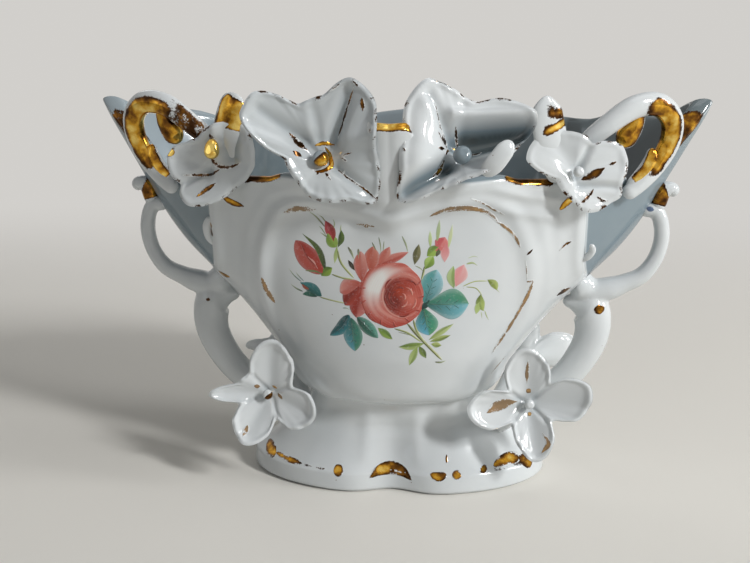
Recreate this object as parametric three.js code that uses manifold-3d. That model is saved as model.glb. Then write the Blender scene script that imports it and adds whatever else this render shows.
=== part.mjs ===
// Bridal vase: a fan-shaped porcelain bowl on a hollow foot, with scroll handles,
// openwork scrolls on the rim and eight applied flowers. Millimetres, +Z up, the front faces -Y.
import * as THREE from "three";
import { mergeVertices } from "three/addons/utils/BufferGeometryUtils.js";
import Module from "manifold-3d";

const wasm = await Module();
wasm.setup();

// Driving dimensions
const TIP_HEIGHT = 170;
const WAIST_HEIGHT = 38;
const WALL = 4;
const TIP_WALL = 9;
const FLOOR_THICKNESS = 6;
const PANEL_RISE = 3.5;
const PANEL_SLOPE = 1.5;
const BORDER_RISE = 1.6;
const BORDER_WIDTH = 4;
const FOLD_DEPTH = 1.2;
const FOLD_WIDTH = 4;
const FOLD_PLACE = 66;
const FOLD_FOOT = 92;
const FOLD_TOP = 104;
const FLARE = 7;
const FLARE_WIDTH = 21;
const FLARE_PLACE = 23;
const FLARE_FOOT = 120;
const FLARE_TOP = 146;
const SADDLE_RISE = 7.5;
const SADDLE_WIDTH = 11;
const SADDLE_FOOT = 104;
const SADDLE_TOP = 140;
const PETAL = 2.6;
const BOSS_SHARE = 0.42;
const THROAT_CURVE = 2.2;
const EDGE_CURVE = 1.6;
const SLIP_GAP = 0.3;
const FOOT_WALL = 6;
const FOOT_HOLLOW = 28;
const CUT_TOLERANCE = 0.1;

// Bowl wall: height, half width, depth to the front, depth to the back, end sharpness
const WALL_STATIONS = [
  [WAIST_HEIGHT, 34, 27, 27, 0.5],
  [41, 43, 32.5, 32.5, 0.5],
  [45, 47.2, 35.5, 35.5, 0.5],
  [54, 52, 38.5, 38.5, 0.52],
  [64, 59, 41.5, 41.5, 0.56],
  [80, 73, 43.5, 43.5, 0.64],
  [93, 86.4, 44.5, 44.5, 0.7],
  [105, 98, 45, 45, 0.74],
  [116, 106, 45.5, 45.5, 0.78],
  [131, 114.6, 46.5, 46, 0.8],
  [150, 125, 49.5, 48, 0.8],
  [163, 132, 54, 50, 0.8],
  [TIP_HEIGHT, 135, 56, 52, 0.8],
];
const SECTION_POWER = 2.15;

// Height of the rim over the share of the half width, from the middle (0) to the tip (1)
const FRONT_RIM = [
  [0, 160.5], [0.05, 160], [0.09, 156], [0.15, 147], [0.22, 142], [0.35, 142.5], [0.42, 140],
  [0.55, 139.6], [0.62, 143], [0.7, 146], [0.78, 141], [0.85, 132.5], [0.915, 137], [0.945, 149],
  [0.965, 157], [1, TIP_HEIGHT],
];
const BACK_RIM = [
  [0, 162], [0.12, 160], [0.24, 157], [0.36, 160], [0.46, 163], [0.58, 160], [0.7, 159],
  [0.82, 163], [0.92, 161.5], [1, TIP_HEIGHT],
];

// Edge of the raised white panel: height, distance from the middle
const PANEL_EDGE = [[86, 90], [95, 82.5], [106, 80.5], [128, 80], [165, 78]];

// Raised border round the painted field, as direction in degrees and reach from its centre
const BORDER_CENTRE = new THREE.Vector2(0, 95);
const BORDER = [
  [0, 58], [32, 58], [62, 38], [90, 29], [118, 37], [148, 56], [180, 57], [218, 58], [270, 66], [322, 58],
];

// Foot: height, half width, half depth
const FOOT_STATIONS = [
  [0, 66, 39.5], [1.5, 67.8, 41], [8, 67.3, 40.6], [10.5, 64.5, 38.8], [15, 59, 35.8],
  [21, 53, 32.4], [28, 46, 29], [34, 38.5, 26.5], [WAIST_HEIGHT, 34, 25.5],
];
const FOOT_NOTCH = 6.5;
const FOOT_NOTCH_WIDTH = 13;
const FOOT_SHOULDER = 8;
const FOOT_POWER = 0.92;

// Smooth curve without overshoot through rows of [position, value, value, ...]
function along(rows, at, column = 1) {
  const last = rows.length - 1;
  if (at <= rows[0][0]) {
    return rows[0][column];
  }
  if (at >= rows[last][0]) {
    return rows[last][column];
  }
  const rise = (k) => (rows[k + 1][column] - rows[k][column]) / (rows[k + 1][0] - rows[k][0]);
  const slope = (k) => {
    if (k === 0) {
      return rise(0);
    }
    if (k === last) {
      return rise(last - 1);
    }
    const product = rise(k - 1) * rise(k);
    return product > 0 ? (2 * product) / (rise(k - 1) + rise(k)) : 0;
  };
  const i = rows.findIndex((row) => row[0] > at) - 1;
  const span = rows[i + 1][0] - rows[i][0];
  const t = (at - rows[i][0]) / span;
  const start = (2 * t ** 3 - 3 * t ** 2 + 1) * rows[i][column] + (t ** 3 - 2 * t ** 2 + t) * slope(i) * span;
  const end = (3 * t ** 2 - 2 * t ** 3) * rows[i + 1][column] + (t ** 3 - t ** 2) * slope(i + 1) * span;
  return start + end;
}

// The same curve closed round a full turn of directions in degrees
function around(rows, degrees, column = 1) {
  const turned = [-1, 0, 1].flatMap((turn) => rows.map((row) => [row[0] + 360 * turn, ...row.slice(1)]));
  return along(turned, THREE.MathUtils.euclideanModulo(degrees, 360), column);
}

const step = (from, to, at) => THREE.MathUtils.smoothstep(at, from, to);
const hump = (distance, width) => Math.exp(-((distance / width) ** 2));

// Places every vertex of a closed three.js geometry and joins it to one watertight body
function shaped(geometry, place) {
  const position = geometry.attributes.position;
  const vertex = new THREE.Vector3();
  for (let i = 0; i < position.count; i += 1) {
    vertex.fromBufferAttribute(position, i);
    position.setXYZ(i, ...place(vertex).toArray());
  }
  return geometry;
}

function solid(geometry) {
  const bare = geometry.clone();
  bare.deleteAttribute("normal");
  bare.deleteAttribute("uv");
  const merged = mergeVertices(bare, 1e-3);
  return new wasm.Manifold(
    new wasm.Mesh({
      numProp: 3,
      vertProperties: new Float32Array(merged.attributes.position.array),
      triVerts: new Uint32Array(merged.index.array),
    }),
  );
}

function geometryOf(manifold) {
  const mesh = manifold.getMesh();
  const geometry = new THREE.BufferGeometry();
  geometry.setAttribute("position", new THREE.BufferAttribute(new Float32Array(mesh.vertProperties), 3));
  geometry.setIndex(new THREE.BufferAttribute(new Uint32Array(mesh.triVerts), 1));
  geometry.computeVertexNormals();
  return geometry;
}

// Relief of the moulded panel: how far the surface stands out of the smooth wall
function panelRelief(x, z, face) {
  const panel = PANEL_RISE * step(-PANEL_SLOPE, PANEL_SLOPE, along(PANEL_EDGE, z) - Math.abs(x));
  const offset = new THREE.Vector2(x, z).sub(BORDER_CENTRE);
  const direction = THREE.MathUtils.radToDeg(offset.angle());
  const distance = offset.length() - around(BORDER, direction);
  const border = BORDER_RISE * hump(distance, BORDER_WIDTH);
  const fold = FOLD_DEPTH * hump(Math.abs(x) - FOLD_PLACE, FOLD_WIDTH) * step(FOLD_FOOT, FOLD_TOP, z);
  const flare = FLARE * hump(Math.abs(x) - FLARE_PLACE, FLARE_WIDTH) * step(FLARE_FOOT, FLARE_TOP, z);
  const saddle = face < 0 ? SADDLE_RISE * hump(x, SADDLE_WIDTH) * step(SADDLE_FOOT, SADDLE_TOP, z) : 0;
  return panel + border - fold + flare + saddle;
}

// A point of the bowl wall: side +1 or -1, face -1 front or +1 back, share 0 middle to 1 tip
function wallPoint(side, face, share, height, inset, endInset, relief) {
  const width = along(WALL_STATIONS, height) - endInset;
  const depth = along(WALL_STATIONS, height, face < 0 ? 2 : 3) - inset;
  const sharpness = along(WALL_STATIONS, height, 4);
  const bulge = Math.max(0, 1 - share ** SECTION_POWER) ** sharpness;
  const x = width * share;
  const raised = relief * panelRelief(x * side, height, face) * Math.min(1, 3 * bulge);
  return new THREE.Vector3(side * x, face * (depth * bulge + raised), height);
}

// Column of the wall to its share of the half width, with one narrow column on the panel edge
const PANEL_SHARE = 0.6;
const EDGE_SHARE = 0.7;
const EDGE_WIDTH = 0.025;
const WIDEST_EDGE = 0.94;

function columnShare(u, height) {
  const edge = Math.min(WIDEST_EDGE, along(PANEL_EDGE, height) / along(WALL_STATIONS, height));
  if (u <= PANEL_SHARE) {
    return (edge * u) / PANEL_SHARE;
  }
  if (u <= EDGE_SHARE) {
    return edge + (EDGE_WIDTH * (u - PANEL_SHARE)) / (EDGE_SHARE - PANEL_SHARE);
  }
  const v = (u - EDGE_SHARE) / (1 - EDGE_SHARE);
  const from = edge + EDGE_WIDTH;
  return from + (1 - from) * Math.sin((v * Math.PI) / 2);
}

const FRONT_COLUMNS = 20;
const BACK_COLUMNS = 20;
const OUTER_ROWS = 14;
const INNER_ROWS = 6;
const UNDERSIDE_ROWS = 4;
const ROW_SPREAD = 1.25;
const MEAN_RIM = 150;
const RIM_ROUND = 1.2;
const INNER_RELIEF = 0.8;

function wallColumns() {
  const columns = [];
  const quarter = (side, face, count, inward) => {
    for (let i = 0; i < count; i += 1) {
      columns.push({ side, face, u: inward ? 1 - i / count : i / count });
    }
  };
  quarter(1, 1, BACK_COLUMNS, true);
  quarter(-1, 1, BACK_COLUMNS, false);
  quarter(-1, -1, FRONT_COLUMNS, true);
  quarter(1, -1, FRONT_COLUMNS, false);
  return columns;
}

function rimHeight(face, share) {
  return along(face < 0 ? FRONT_RIM : BACK_RIM, share);
}

// Turns a closed cylinder into the bowl: its rows run up the outside, over the rim, down inside
function bowlGeometry(grow) {
  const columns = wallColumns();
  const rows = OUTER_ROWS + 2 + INNER_ROWS;
  const geometry = new THREE.CylinderGeometry(1, 1, 1, columns.length, rows);
  const floor = WAIST_HEIGHT + FLOOR_THICKNESS + grow;
  return shaped(geometry, (vertex) => {
    const row = Math.round((0.5 + vertex.y) * rows);
    const turn = THREE.MathUtils.euclideanModulo(Math.atan2(vertex.x, vertex.z), 2 * Math.PI);
    const column = columns[Math.round((turn / (2 * Math.PI)) * columns.length) % columns.length];
    if (Math.hypot(vertex.x, vertex.z) < 0.5) {
      return new THREE.Vector3(0, 0, row === 0 ? WAIST_HEIGHT - grow : floor);
    }
    const top = rimHeight(column.face, columnShare(column.u, MEAN_RIM)) + grow;
    const inside = row - OUTER_ROWS - 2;
    const crest = row === OUTER_ROWS + 1;
    let height = WAIST_HEIGHT + (top - RIM_ROUND - WAIST_HEIGHT) * (row / OUTER_ROWS) ** ROW_SPREAD;
    let inset = -grow;
    let endInset = -grow;
    if (row > OUTER_ROWS) {
      height = crest ? top : top - RIM_ROUND - (top - RIM_ROUND - floor) * (inside / INNER_ROWS);
      inset = crest ? WALL / 2 : WALL + grow;
      endInset = crest ? TIP_WALL / 2 : TIP_WALL + grow;
    }
    const share = columnShare(column.u, height);
    const relief = inside < 0 ? 1 : INNER_RELIEF;
    const point = wallPoint(column.side, column.face, share, height, inset, endInset, relief);
    point.z -= grow * Math.max(0, 1 - row / UNDERSIDE_ROWS);
    return point;
  });
}

function footPoint(angle, height, inset) {
  const width = along(FOOT_STATIONS, height) - inset;
  const depth = along(FOOT_STATIONS, height, 2) - inset;
  const x = width * Math.sign(Math.cos(angle)) * Math.abs(Math.cos(angle)) ** FOOT_POWER;
  const notch = FOOT_NOTCH * hump(x, FOOT_NOTCH_WIDTH) * (1 - step(FOOT_SHOULDER, WAIST_HEIGHT, height));
  const y = Math.sign(Math.sin(angle)) * (depth * Math.abs(Math.sin(angle)) - notch);
  return new THREE.Vector3(x, Math.abs(Math.sin(angle)) < 1e-6 ? 0 : y, height);
}

// Closed cylinder as the foot: down the outside, under the resting ring and up the hollow
const FOOT_SIDES = 48;
const FOOT_ROWS = 9;
const HOLLOW_ROWS = 2;
const FOOT_ROW_SPREAD = 1.35;

function footGeometry(grow) {
  const rows = FOOT_ROWS + 1 + HOLLOW_ROWS;
  const geometry = new THREE.CylinderGeometry(1, 1, 1, FOOT_SIDES, rows);
  return shaped(geometry, (vertex) => {
    const row = Math.round((0.5 - vertex.y) * rows);
    const angle = Math.atan2(vertex.x, vertex.z);
    const centre = Math.hypot(vertex.x, vertex.z) < 0.5;
    const down = Math.max(0, 1 - row / FOOT_ROWS);
    let height = WAIST_HEIGHT * down ** FOOT_ROW_SPREAD;
    let inset = -grow;
    if (row > FOOT_ROWS) {
      height = (FOOT_HOLLOW * (row - FOOT_ROWS - 1)) / HOLLOW_ROWS;
      inset = FOOT_WALL + grow;
    }
    if (centre) {
      return new THREE.Vector3(0, 0, row === 0 ? WAIST_HEIGHT : height);
    }
    return footPoint(angle, height, inset);
  });
}

// Tube of changing thickness along a curve; rows of [x, y, z, radius], flattened across
function tube(rows, across, flat, steps, sides) {
  const points = rows.map(([x, y, z]) => new THREE.Vector3(x, y, z));
  const curve = new THREE.CatmullRomCurve3(points, false, "centripetal");
  const radii = rows.map((row, i) => [i / (rows.length - 1), row[3]]);
  const geometry = new THREE.CylinderGeometry(1, 1, 1, sides, steps);
  return shaped(geometry, (vertex) => {
    const t = 0.5 - vertex.y;
    const tangent = curve.getTangent(t);
    const binormal = across.clone().addScaledVector(tangent, -across.dot(tangent)).normalize();
    const normal = new THREE.Vector3().crossVectors(binormal, tangent);
    const radius = along(radii, t);
    return curve
      .getPoint(t)
      .addScaledVector(normal, radius * vertex.x)
      .addScaledVector(binormal, radius * flat * vertex.z);
  });
}

// Thin corolla: outline rows of [direction, reach, lift of the edge], hollow throat, rounded edge
function corolla(flower, grow) {
  const geometry = new THREE.SphereGeometry(1, flower.sides, flower.rings);
  const front = (direction, share) => {
    const degrees = THREE.MathUtils.radToDeg(direction);
    const reach = (around(flower.outline, degrees) + grow) * share;
    const lift = around(flower.outline, degrees, 2) * share ** EDGE_CURVE;
    const throat = -flower.throat * (1 - share) ** THROAT_CURVE;
    return new THREE.Vector3(reach * Math.cos(direction), reach * Math.sin(direction), lift + throat);
  };
  const nudge = 0.02;
  const axis = new THREE.Vector3(0, 0, 1);
  return shaped(geometry, (vertex) => {
    const share = Math.min(1, Math.hypot(vertex.x, vertex.z));
    const direction = Math.atan2(vertex.z, -vertex.x);
    const point = front(direction, share);
    const inner = Math.max(nudge, share - nudge);
    const outward = front(direction, inner + nudge).sub(front(direction, inner));
    const sideways = front(direction + nudge, inner).sub(front(direction, inner));
    const normal = outward.cross(sideways).normalize().lerp(axis, Math.max(0, 1 - 4 * share)).normalize();
    if (vertex.y > -1e-6) {
      return point.addScaledVector(normal, grow);
    }
    const boss = flower.boss * hump(share, BOSS_SHARE);
    point.addScaledVector(normal, -PETAL * Math.sqrt(1 - share ** 4) - grow);
    return point.addScaledVector(axis, -boss);
  });
}

// Frame of an applied flower: its throat at the centre, its axis looking out of the corolla
function flowerFrame(flower, face) {
  const centre = new THREE.Vector3(...flower.centre);
  const axis = new THREE.Vector3(...flower.axis).normalize();
  const right = new THREE.Vector3(0, 0, 1).cross(axis).normalize();
  const up = axis.clone().cross(right);
  const frame = new THREE.Matrix4().makeBasis(right, up, axis).setPosition(centre);
  return new THREE.Matrix4().makeScale(1, face, 1).multiply(frame);
}

function touching(a, b) {
  return [0, 1, 2].every((i) => a.min[i] < b.max[i] && b.min[i] < a.max[i]);
}

function turned(geometry, matrix) {
  const moved = geometry.clone().applyMatrix4(matrix);
  if (matrix.determinant() < 0) {
    const index = moved.index.array;
    for (let i = 0; i < index.length; i += 3) {
      [index[i], index[i + 1]] = [index[i + 1], index[i]];
    }
  }
  return moved;
}

const RIM_FLOWER_LEFT = {
  centre: [-27.1, -61, 149.5],
  axis: [-0.12, -0.92, 0.3],
  throat: 6,
  boss: 11,
  pistil: 3.2,
  sides: 36,
  rings: 10,
  outline: [
    [8, 23, 2], [29, 26.5, 7], [46, 31, 7], [66, 32.5, 8], [90, 23.5, 5], [112, 22, 5], [140, 34.5, 11],
    [153, 34.5, 10], [170, 24, 6], [186, 14, 2], [221, 13, 0], [253, 15.5, -4], [305, 19, -7], [325, 26, -10],
  ],
};
const RIM_FLOWER_RIGHT = {
  centre: [28.3, -60, 151.4],
  axis: [0.2, -0.85, 0.48],
  throat: 8,
  boss: 11,
  pistil: 3.6,
  sides: 36,
  rings: 10,
  outline: [
    [25, 32, 7], [50, 27.5, 5], [74, 21.5, 3], [96, 25.5, 5], [115, 31.5, 7], [133, 30, 4], [164, 24.5, 0],
    [190, 25, -5], [210, 28, -12], [236, 16, -3], [274, 11.5, 3], [325, 13.5, 7], [0, 21, 8],
  ],
};
const SHOULDER_FLOWER_LEFT = {
  centre: [-73.3, -44, 149.7],
  axis: [-0.3, -0.9, 0.15],
  throat: 2,
  boss: 5,
  pistil: 2.4,
  sides: 28,
  rings: 8,
  outline: [
    [20, 17, -3], [45, 17, -4], [66, 14, -2], [90, 11.8, 0], [111, 10.4, 1], [140, 9.5, 1], [163, 13, 1],
    [176, 18.6, 2], [191, 21.8, 2], [208, 22.3, 1], [222, 21.2, 0], [229, 24.8, -1], [240, 25.8, -1],
    [252, 24, -2], [267, 21, -3], [285, 18.4, -4], [300, 16.5, -5], [335, 16.5, -6],
  ],
};
const SHOULDER_FLOWER_RIGHT = {
  centre: [74, -44, 143],
  axis: [0.25, -0.9, 0.25],
  throat: 2,
  boss: 8,
  pistil: 2.2,
  sides: 28,
  rings: 8,
  outline: [
    [0, 21, 0], [13, 22, 0], [25, 21.9, 1], [35, 19.6, 2], [47, 16.5, 2], [61, 12.8, 2], [71, 13.7, 2],
    [85, 15.2, 2], [100, 16.7, 1], [116, 18.5, 0], [135, 21.3, -1], [146, 19, -2], [158, 15.5, -2],
    [172, 13, -2], [200, 9, -2], [240, 10, -2], [265, 12, -3], [281, 15.7, -4], [300, 18, -4],
    [320, 19.3, -4], [333, 21.5, -3], [346, 19.8, -1],
  ],
};
const FOOT_FLOWER_LEFT = {
  centre: [-54.6, -36, 43.5],
  axis: [-0.12, -0.97, 0.15],
  throat: 1.5,
  boss: 3,
  pistil: 2.2,
  sides: 30,
  rings: 7,
  outline: [
    [21, 12, 1], [56, 20, 3], [83, 25, 5], [112, 18.5, 4], [134, 12.5, 3], [160, 14, 3], [183, 25.5, 6],
    [200, 13.5, 3], [222, 19.5, 5], [248, 23.5, 6], [272, 18.5, 3], [291, 12, 1], [311, 19, 3], [341, 24, 4],
    [4, 20, 3],
  ],
};
const FOOT_FLOWER_RIGHT = {
  centre: [58.3, -36, 42.5],
  axis: [0.12, -0.97, 0.15],
  throat: 1.5,
  boss: 3,
  pistil: 2.2,
  sides: 30,
  rings: 7,
  outline: [
    [16, 26.5, 7], [37, 19.5, 5], [46, 13.5, 3], [68, 19.5, 4], [97, 25, 5], [122, 20, 3], [147, 12, 2],
    [163, 21, 3], [185, 27, 3], [210, 21, 3], [227, 12, 1], [254, 18.5, 3], [276, 24.5, 5], [302, 18.5, 5],
    [323, 12, 3], [345, 22, 5],
  ],
};

// Handles, right side: the thin upper scroll, the stout lower scroll and the curled bud on top
const ACROSS_HANDLE = new THREE.Vector3(0, 1, 0);
const UPPER_SCROLL = [
  [106, 0, 121, 3], [113, 0, 121, 3.4], [116.2, 0, 112, 3.5], [114.5, 0, 101, 3.5], [108.7, 0, 92.2, 3.8],
  [101, 0, 88.2, 4.3], [94, 0, 85.6, 5.4], [87, 0, 84.6, 5.6],
];
const LOWER_SCROLL = [
  [74, 0, 79.8, 2], [80, 0, 79, 4.6], [86, 0, 76.4, 8.8], [87.9, 0, 70.5, 8.3], [87.2, 0, 62, 7.7],
  [82.6, 0, 52, 7.2], [75, 0, 42.3, 6.8], [62, 0, 33, 6.6], [48, 0, 26, 6],
];
const HANDLE_CURL = [
  [113, 0, 119.5, 2.2], [114.2, 0, 125, 3.4], [115.8, 0, 130, 3.7], [119.4, 0, 130.5, 3.3],
  [120.8, 0, 127.6, 1.8],
];

// Openwork scroll on the rim, right side: the ring, its inner volute and its lower leaf
const ACROSS_RIM = new THREE.Vector3(0.3, -0.95, 0.05);
const RING = [
  [76, -33.2, 145, 4], [78, -33, 153, 4], [87, -32.5, 161.5, 4.4], [97.5, -29.5, 168, 4.8],
  [107.5, -25, 168.5, 4.9], [113.6, -20.5, 162.5, 4.9], [114.2, -17, 153.5, 4.6],
  [110, -17.5, 144.5, 4.2], [103.5, -20, 137, 3.8], [95.5, -23, 130.5, 3.2],
];
const VOLUTE = [
  [99, -28, 167.5, 2.8], [98, -27.5, 161, 3.6], [94.5, -27.5, 155.5, 4.6], [91.5, -27.8, 152, 2.8],
];
const RING_LEAF = [
  [97, -22, 133, 3], [103, -20, 138.5, 4], [106.5, -19, 145, 3.6], [106.5, -19.5, 150.5, 1.6],
];

// Gilded leaves that stand on the rim between the large flowers and the shoulder flowers
const LEFT_LEAF = [
  [70, -38.5, 139, 4], [68, -39, 149, 6], [66, -39.5, 159, 7], [66.5, -40.5, 169, 5.6],
  [68, -41.5, 175.5, 2],
];
const RIGHT_LEAF = [
  [66, -39.5, 138, 4], [65, -40, 147, 5], [63, -41, 156, 7], [61, -42.5, 166, 6.6], [60.5, -43.5, 173, 2],
];

// Small petal of the right rim flower that is folded up out of its lower lip
const ACROSS_FOLD = new THREE.Vector3(0.2, -1, 0.2).normalize();
const FOLDED_PETAL = [
  [36, -65.5, 144, 2.6], [40.4, -67, 148.6, 3.8], [44, -67, 153.4, 3.6], [46.8, -65.5, 157, 1.8],
];

// Stalk that carries a foot flower on the shoulder of the foot
const FOOT_STALK = [[56, -33, 43, 4.5], [54, -24, 37, 4.5], [48, -14, 27, 5], [44, -8, 22, 4]];

const UP = new THREE.Vector3(0, 0, 1);
const PORCELAIN = { color: "#dcdedb", roughness: 0.12, metalness: 0 };
const GILDING = { color: "#a8782c", roughness: 0.3, metalness: 0.9 };

// The main body that is left after a cut; slivers beyond the joint are dropped
function largest(body) {
  const main = (whole) => whole.decompose().sort((a, b) => b.volume() - a.volume())[0];
  return main(main(body).simplify(CUT_TOLERANCE));
}

const scroll = (rows, across, flat, steps, sides, side) => (grow) => {
  const grown = rows.map(([x, y, z, radius]) => [x, y, z, radius + grow]);
  const body = solid(tube(grown, across, flat, steps, sides));
  return side < 0 ? body.scale([side, 1, 1]) : body;
};

const joined = (...shapes) => (grow) => shapes.map((shape) => shape(grow)).reduce((a, b) => a.add(b));

const bloom = (flower, face = 1) => (grow) => solid(turned(corolla(flower, grow), flowerFrame(flower, face)));

// Ball that rests in the throat of a flower, high enough to clear its sloping sides
const pistil = (flower, face = 1) => (grow) => {
  const slope = (THROAT_CURVE * flower.throat) / Math.min(...flower.outline.map((row) => row[1]));
  const rest = (flower.pistil + SLIP_GAP) * Math.hypot(1, slope) - flower.throat;
  const geometry = new THREE.SphereGeometry(flower.pistil + grow, 10, 6);
  return solid(turned(geometry.rotateX(Math.PI / 2).translate(0, 0, rest), flowerFrame(flower, face)));
};

const pieces = [
  ["vase_body", PORCELAIN, (grow) => solid(bowlGeometry(grow))],
  ["foot", PORCELAIN, (grow) => solid(footGeometry(grow))],
];

for (const [word, side, leaf] of [["left", -1, LEFT_LEAF], ["right", 1, RIGHT_LEAF]]) {
  pieces.push(
    [`${word}_handle_lower_scroll`, PORCELAIN, scroll(LOWER_SCROLL, ACROSS_HANDLE, 0.8, 18, 12, side)],
    [`${word}_handle_upper_scroll`, PORCELAIN, scroll(UPPER_SCROLL, ACROSS_HANDLE, 1, 18, 10, side)],
    [`${word}_handle_curl`, GILDING, scroll(HANDLE_CURL, ACROSS_HANDLE, 0.95, 10, 8, side)],
    [`${word}_rim_leaf`, GILDING, scroll(leaf, ACROSS_RIM, 0.35, 8, 10, side)],
    [
      `${word}_rim_scroll`,
      PORCELAIN,
      joined(
        scroll(RING, ACROSS_RIM, 0.8, 26, 8, side),
        scroll(VOLUTE, ACROSS_RIM, 0.8, 7, 8, side),
        scroll(RING_LEAF, ACROSS_RIM, 0.7, 6, 6, side),
      ),
    ],
  );
}

const FLOWERS = [
  ["left_rim_flower", RIM_FLOWER_LEFT],
  ["right_rim_flower", RIM_FLOWER_RIGHT],
  ["left_shoulder_flower", SHOULDER_FLOWER_LEFT],
  ["right_shoulder_flower", SHOULDER_FLOWER_RIGHT],
  ["front_left_foot_flower", FOOT_FLOWER_LEFT],
  ["front_right_foot_flower", FOOT_FLOWER_RIGHT],
  ["back_left_foot_flower", FOOT_FLOWER_LEFT, -1],
  ["back_right_foot_flower", FOOT_FLOWER_RIGHT, -1],
];

for (const [name, flower, face] of FLOWERS) {
  const side = Math.sign(flower.centre[0]);
  const stalkRows = FOOT_STALK.map(([x, y, z, radius]) => [x, y * (face ?? 1), z, radius]);
  let shape = bloom(flower, face);
  if (name.includes("foot")) {
    shape = joined(shape, scroll(stalkRows, UP, 1, 4, 8, side));
  }
  if (name === "right_rim_flower") {
    shape = joined(shape, scroll(FOLDED_PETAL, ACROSS_FOLD, 0.3, 5, 6, side));
  }
  pieces.push([name, PORCELAIN, shape], [`${name}_pistil`, GILDING, pistil(flower, face)]);
}

// Every piece is cut back, with the slip gap, to the pieces that were there before it
const vase = new THREE.Group();
const placed = [];

for (const [name, finish, shape] of pieces) {
  let body = shape(0);
  for (const earlier of placed) {
    if (touching(body.boundingBox(), earlier.boundingBox())) {
      body = body.subtract(earlier);
    }
  }
  placed.push(shape(SLIP_GAP));
  const mesh = new THREE.Mesh(geometryOf(largest(body)), new THREE.MeshStandardMaterial(finish));
  mesh.name = name;
  vase.add(mesh);
}

// The origin is under the middle of the whole vase, on the surface that it stands on
const middle = new THREE.Box3().setFromObject(vase).getCenter(new THREE.Vector3());
vase.children.forEach((mesh) => mesh.position.set(-middle.x, -middle.y, 0));

export default vase;
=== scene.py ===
import math
import bmesh
import bpy
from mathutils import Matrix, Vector
from mathutils.bvhtree import BVHTree


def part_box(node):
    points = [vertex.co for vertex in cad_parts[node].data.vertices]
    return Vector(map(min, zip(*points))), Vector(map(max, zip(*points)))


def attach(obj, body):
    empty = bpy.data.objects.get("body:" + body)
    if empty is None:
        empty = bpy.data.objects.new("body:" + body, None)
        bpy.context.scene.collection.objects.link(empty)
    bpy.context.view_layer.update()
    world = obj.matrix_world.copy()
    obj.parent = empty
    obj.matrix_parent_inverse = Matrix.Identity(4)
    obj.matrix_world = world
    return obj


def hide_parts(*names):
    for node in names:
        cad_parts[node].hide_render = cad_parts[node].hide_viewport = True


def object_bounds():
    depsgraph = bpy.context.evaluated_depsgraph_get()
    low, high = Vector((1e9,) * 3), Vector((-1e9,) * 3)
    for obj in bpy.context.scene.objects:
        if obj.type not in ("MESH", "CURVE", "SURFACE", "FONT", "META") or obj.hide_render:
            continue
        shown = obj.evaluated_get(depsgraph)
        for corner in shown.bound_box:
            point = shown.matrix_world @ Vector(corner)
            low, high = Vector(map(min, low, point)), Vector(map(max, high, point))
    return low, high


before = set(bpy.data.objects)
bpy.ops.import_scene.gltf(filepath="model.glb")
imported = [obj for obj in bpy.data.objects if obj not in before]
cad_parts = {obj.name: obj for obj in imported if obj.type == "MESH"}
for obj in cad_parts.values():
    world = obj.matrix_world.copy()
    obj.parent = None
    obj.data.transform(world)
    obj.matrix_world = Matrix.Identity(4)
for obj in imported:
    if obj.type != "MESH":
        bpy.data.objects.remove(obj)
cad_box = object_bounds()

# The photographer stood in front and a little to the right, looking down at the vase on its pale
# table. Two tall windows far to the right light it, and weak lamps fill in from the other sides.
# The drawing has y = 0 in the middle of the handles, so MIDDLE is that plane in millimetres.
handle_low, handle_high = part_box("right_handle_upper_scroll")
MIDDLE = 500 * (handle_low.y + handle_high.y)
MM = 0.001


def spot(x, y, z):
    """A place on the vase in millimetres, with y from the middle plane of the handles."""
    return Vector((x, y + MIDDLE, z)) * MM


EYE = (30.6, -467.0, 192.8)
TURN = math.radians(5.1)
LOOK_DOWN = math.radians(12.75)
FILM_WIDTH, LENS_LENGTH = 36, 50.4
lens = bpy.data.cameras.new("photographer")
lens.sensor_width = FILM_WIDTH
lens.lens = LENS_LENGTH
lens.clip_start = 0.01
eye = bpy.data.objects.new("photographer", lens)
eye.location = spot(*EYE)
eye.rotation_euler = (math.pi / 2 - LOOK_DOWN, 0, TURN)
bpy.context.scene.collection.objects.link(eye)
bpy.context.scene.camera = eye
bpy.context.scene.view_settings.view_transform = "Standard"


def softbox(name, place, target, size, watts, colour=(1, 1, 1)):
    lamp = bpy.data.lights.new(name, "AREA")
    lamp.shape = "RECTANGLE"
    lamp.size, lamp.size_y = size
    lamp.energy = watts
    lamp.color = colour
    stand = bpy.data.objects.new(name, lamp)
    stand.location = place
    aim = Vector(target) - Vector(place)
    stand.rotation_euler = aim.to_track_quat("-Z", "Y").to_euler()
    bpy.context.scene.collection.objects.link(stand)


softbox("window", (1.76, -1.33, 1.33), (0, 0, 0.09), (0.24, 0.56), 42)
softbox("second_window", (1.89, -0.27, 0.83), (0, 0, 0.09), (0.43, 0.79), 13)
softbox("ceiling", (0.4, -0.2, 1.3), (0, 0, 0.08), (0.8, 0.5), 1.4)
softbox("left_fill", (-1.0, -0.8, 0.45), (0, 0, 0.09), (0.3, 0.5), 0.4, (0.86, 0.92, 1))
softbox("rear_fill", (-0.9, 1.6, 1.3), (0, 0, 0.09), (1.0, 0.7), 4)


def plug(tree, socket, value):
    """Sets a socket to a value, or links it to the socket given as the value."""
    if isinstance(value, bpy.types.NodeSocket):
        tree.links.new(value, socket)
    else:
        socket.default_value = value


def feed(tree, node, **inputs):
    """Plugs a node's inputs by their names, with _ for a space."""
    for name, value in inputs.items():
        plug(tree, node.inputs[name.replace("_", " ")], value)
    return node


def add(tree, kind, **inputs):
    return feed(tree, tree.nodes.new("ShaderNode" + kind), **inputs)


def math_node(tree, operation, *values, clamp=False):
    node = add(tree, "Math")
    node.operation = operation
    node.use_clamp = clamp
    for socket, value in zip(node.inputs, values):
        plug(tree, socket, value)
    return node.outputs[0]


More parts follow.
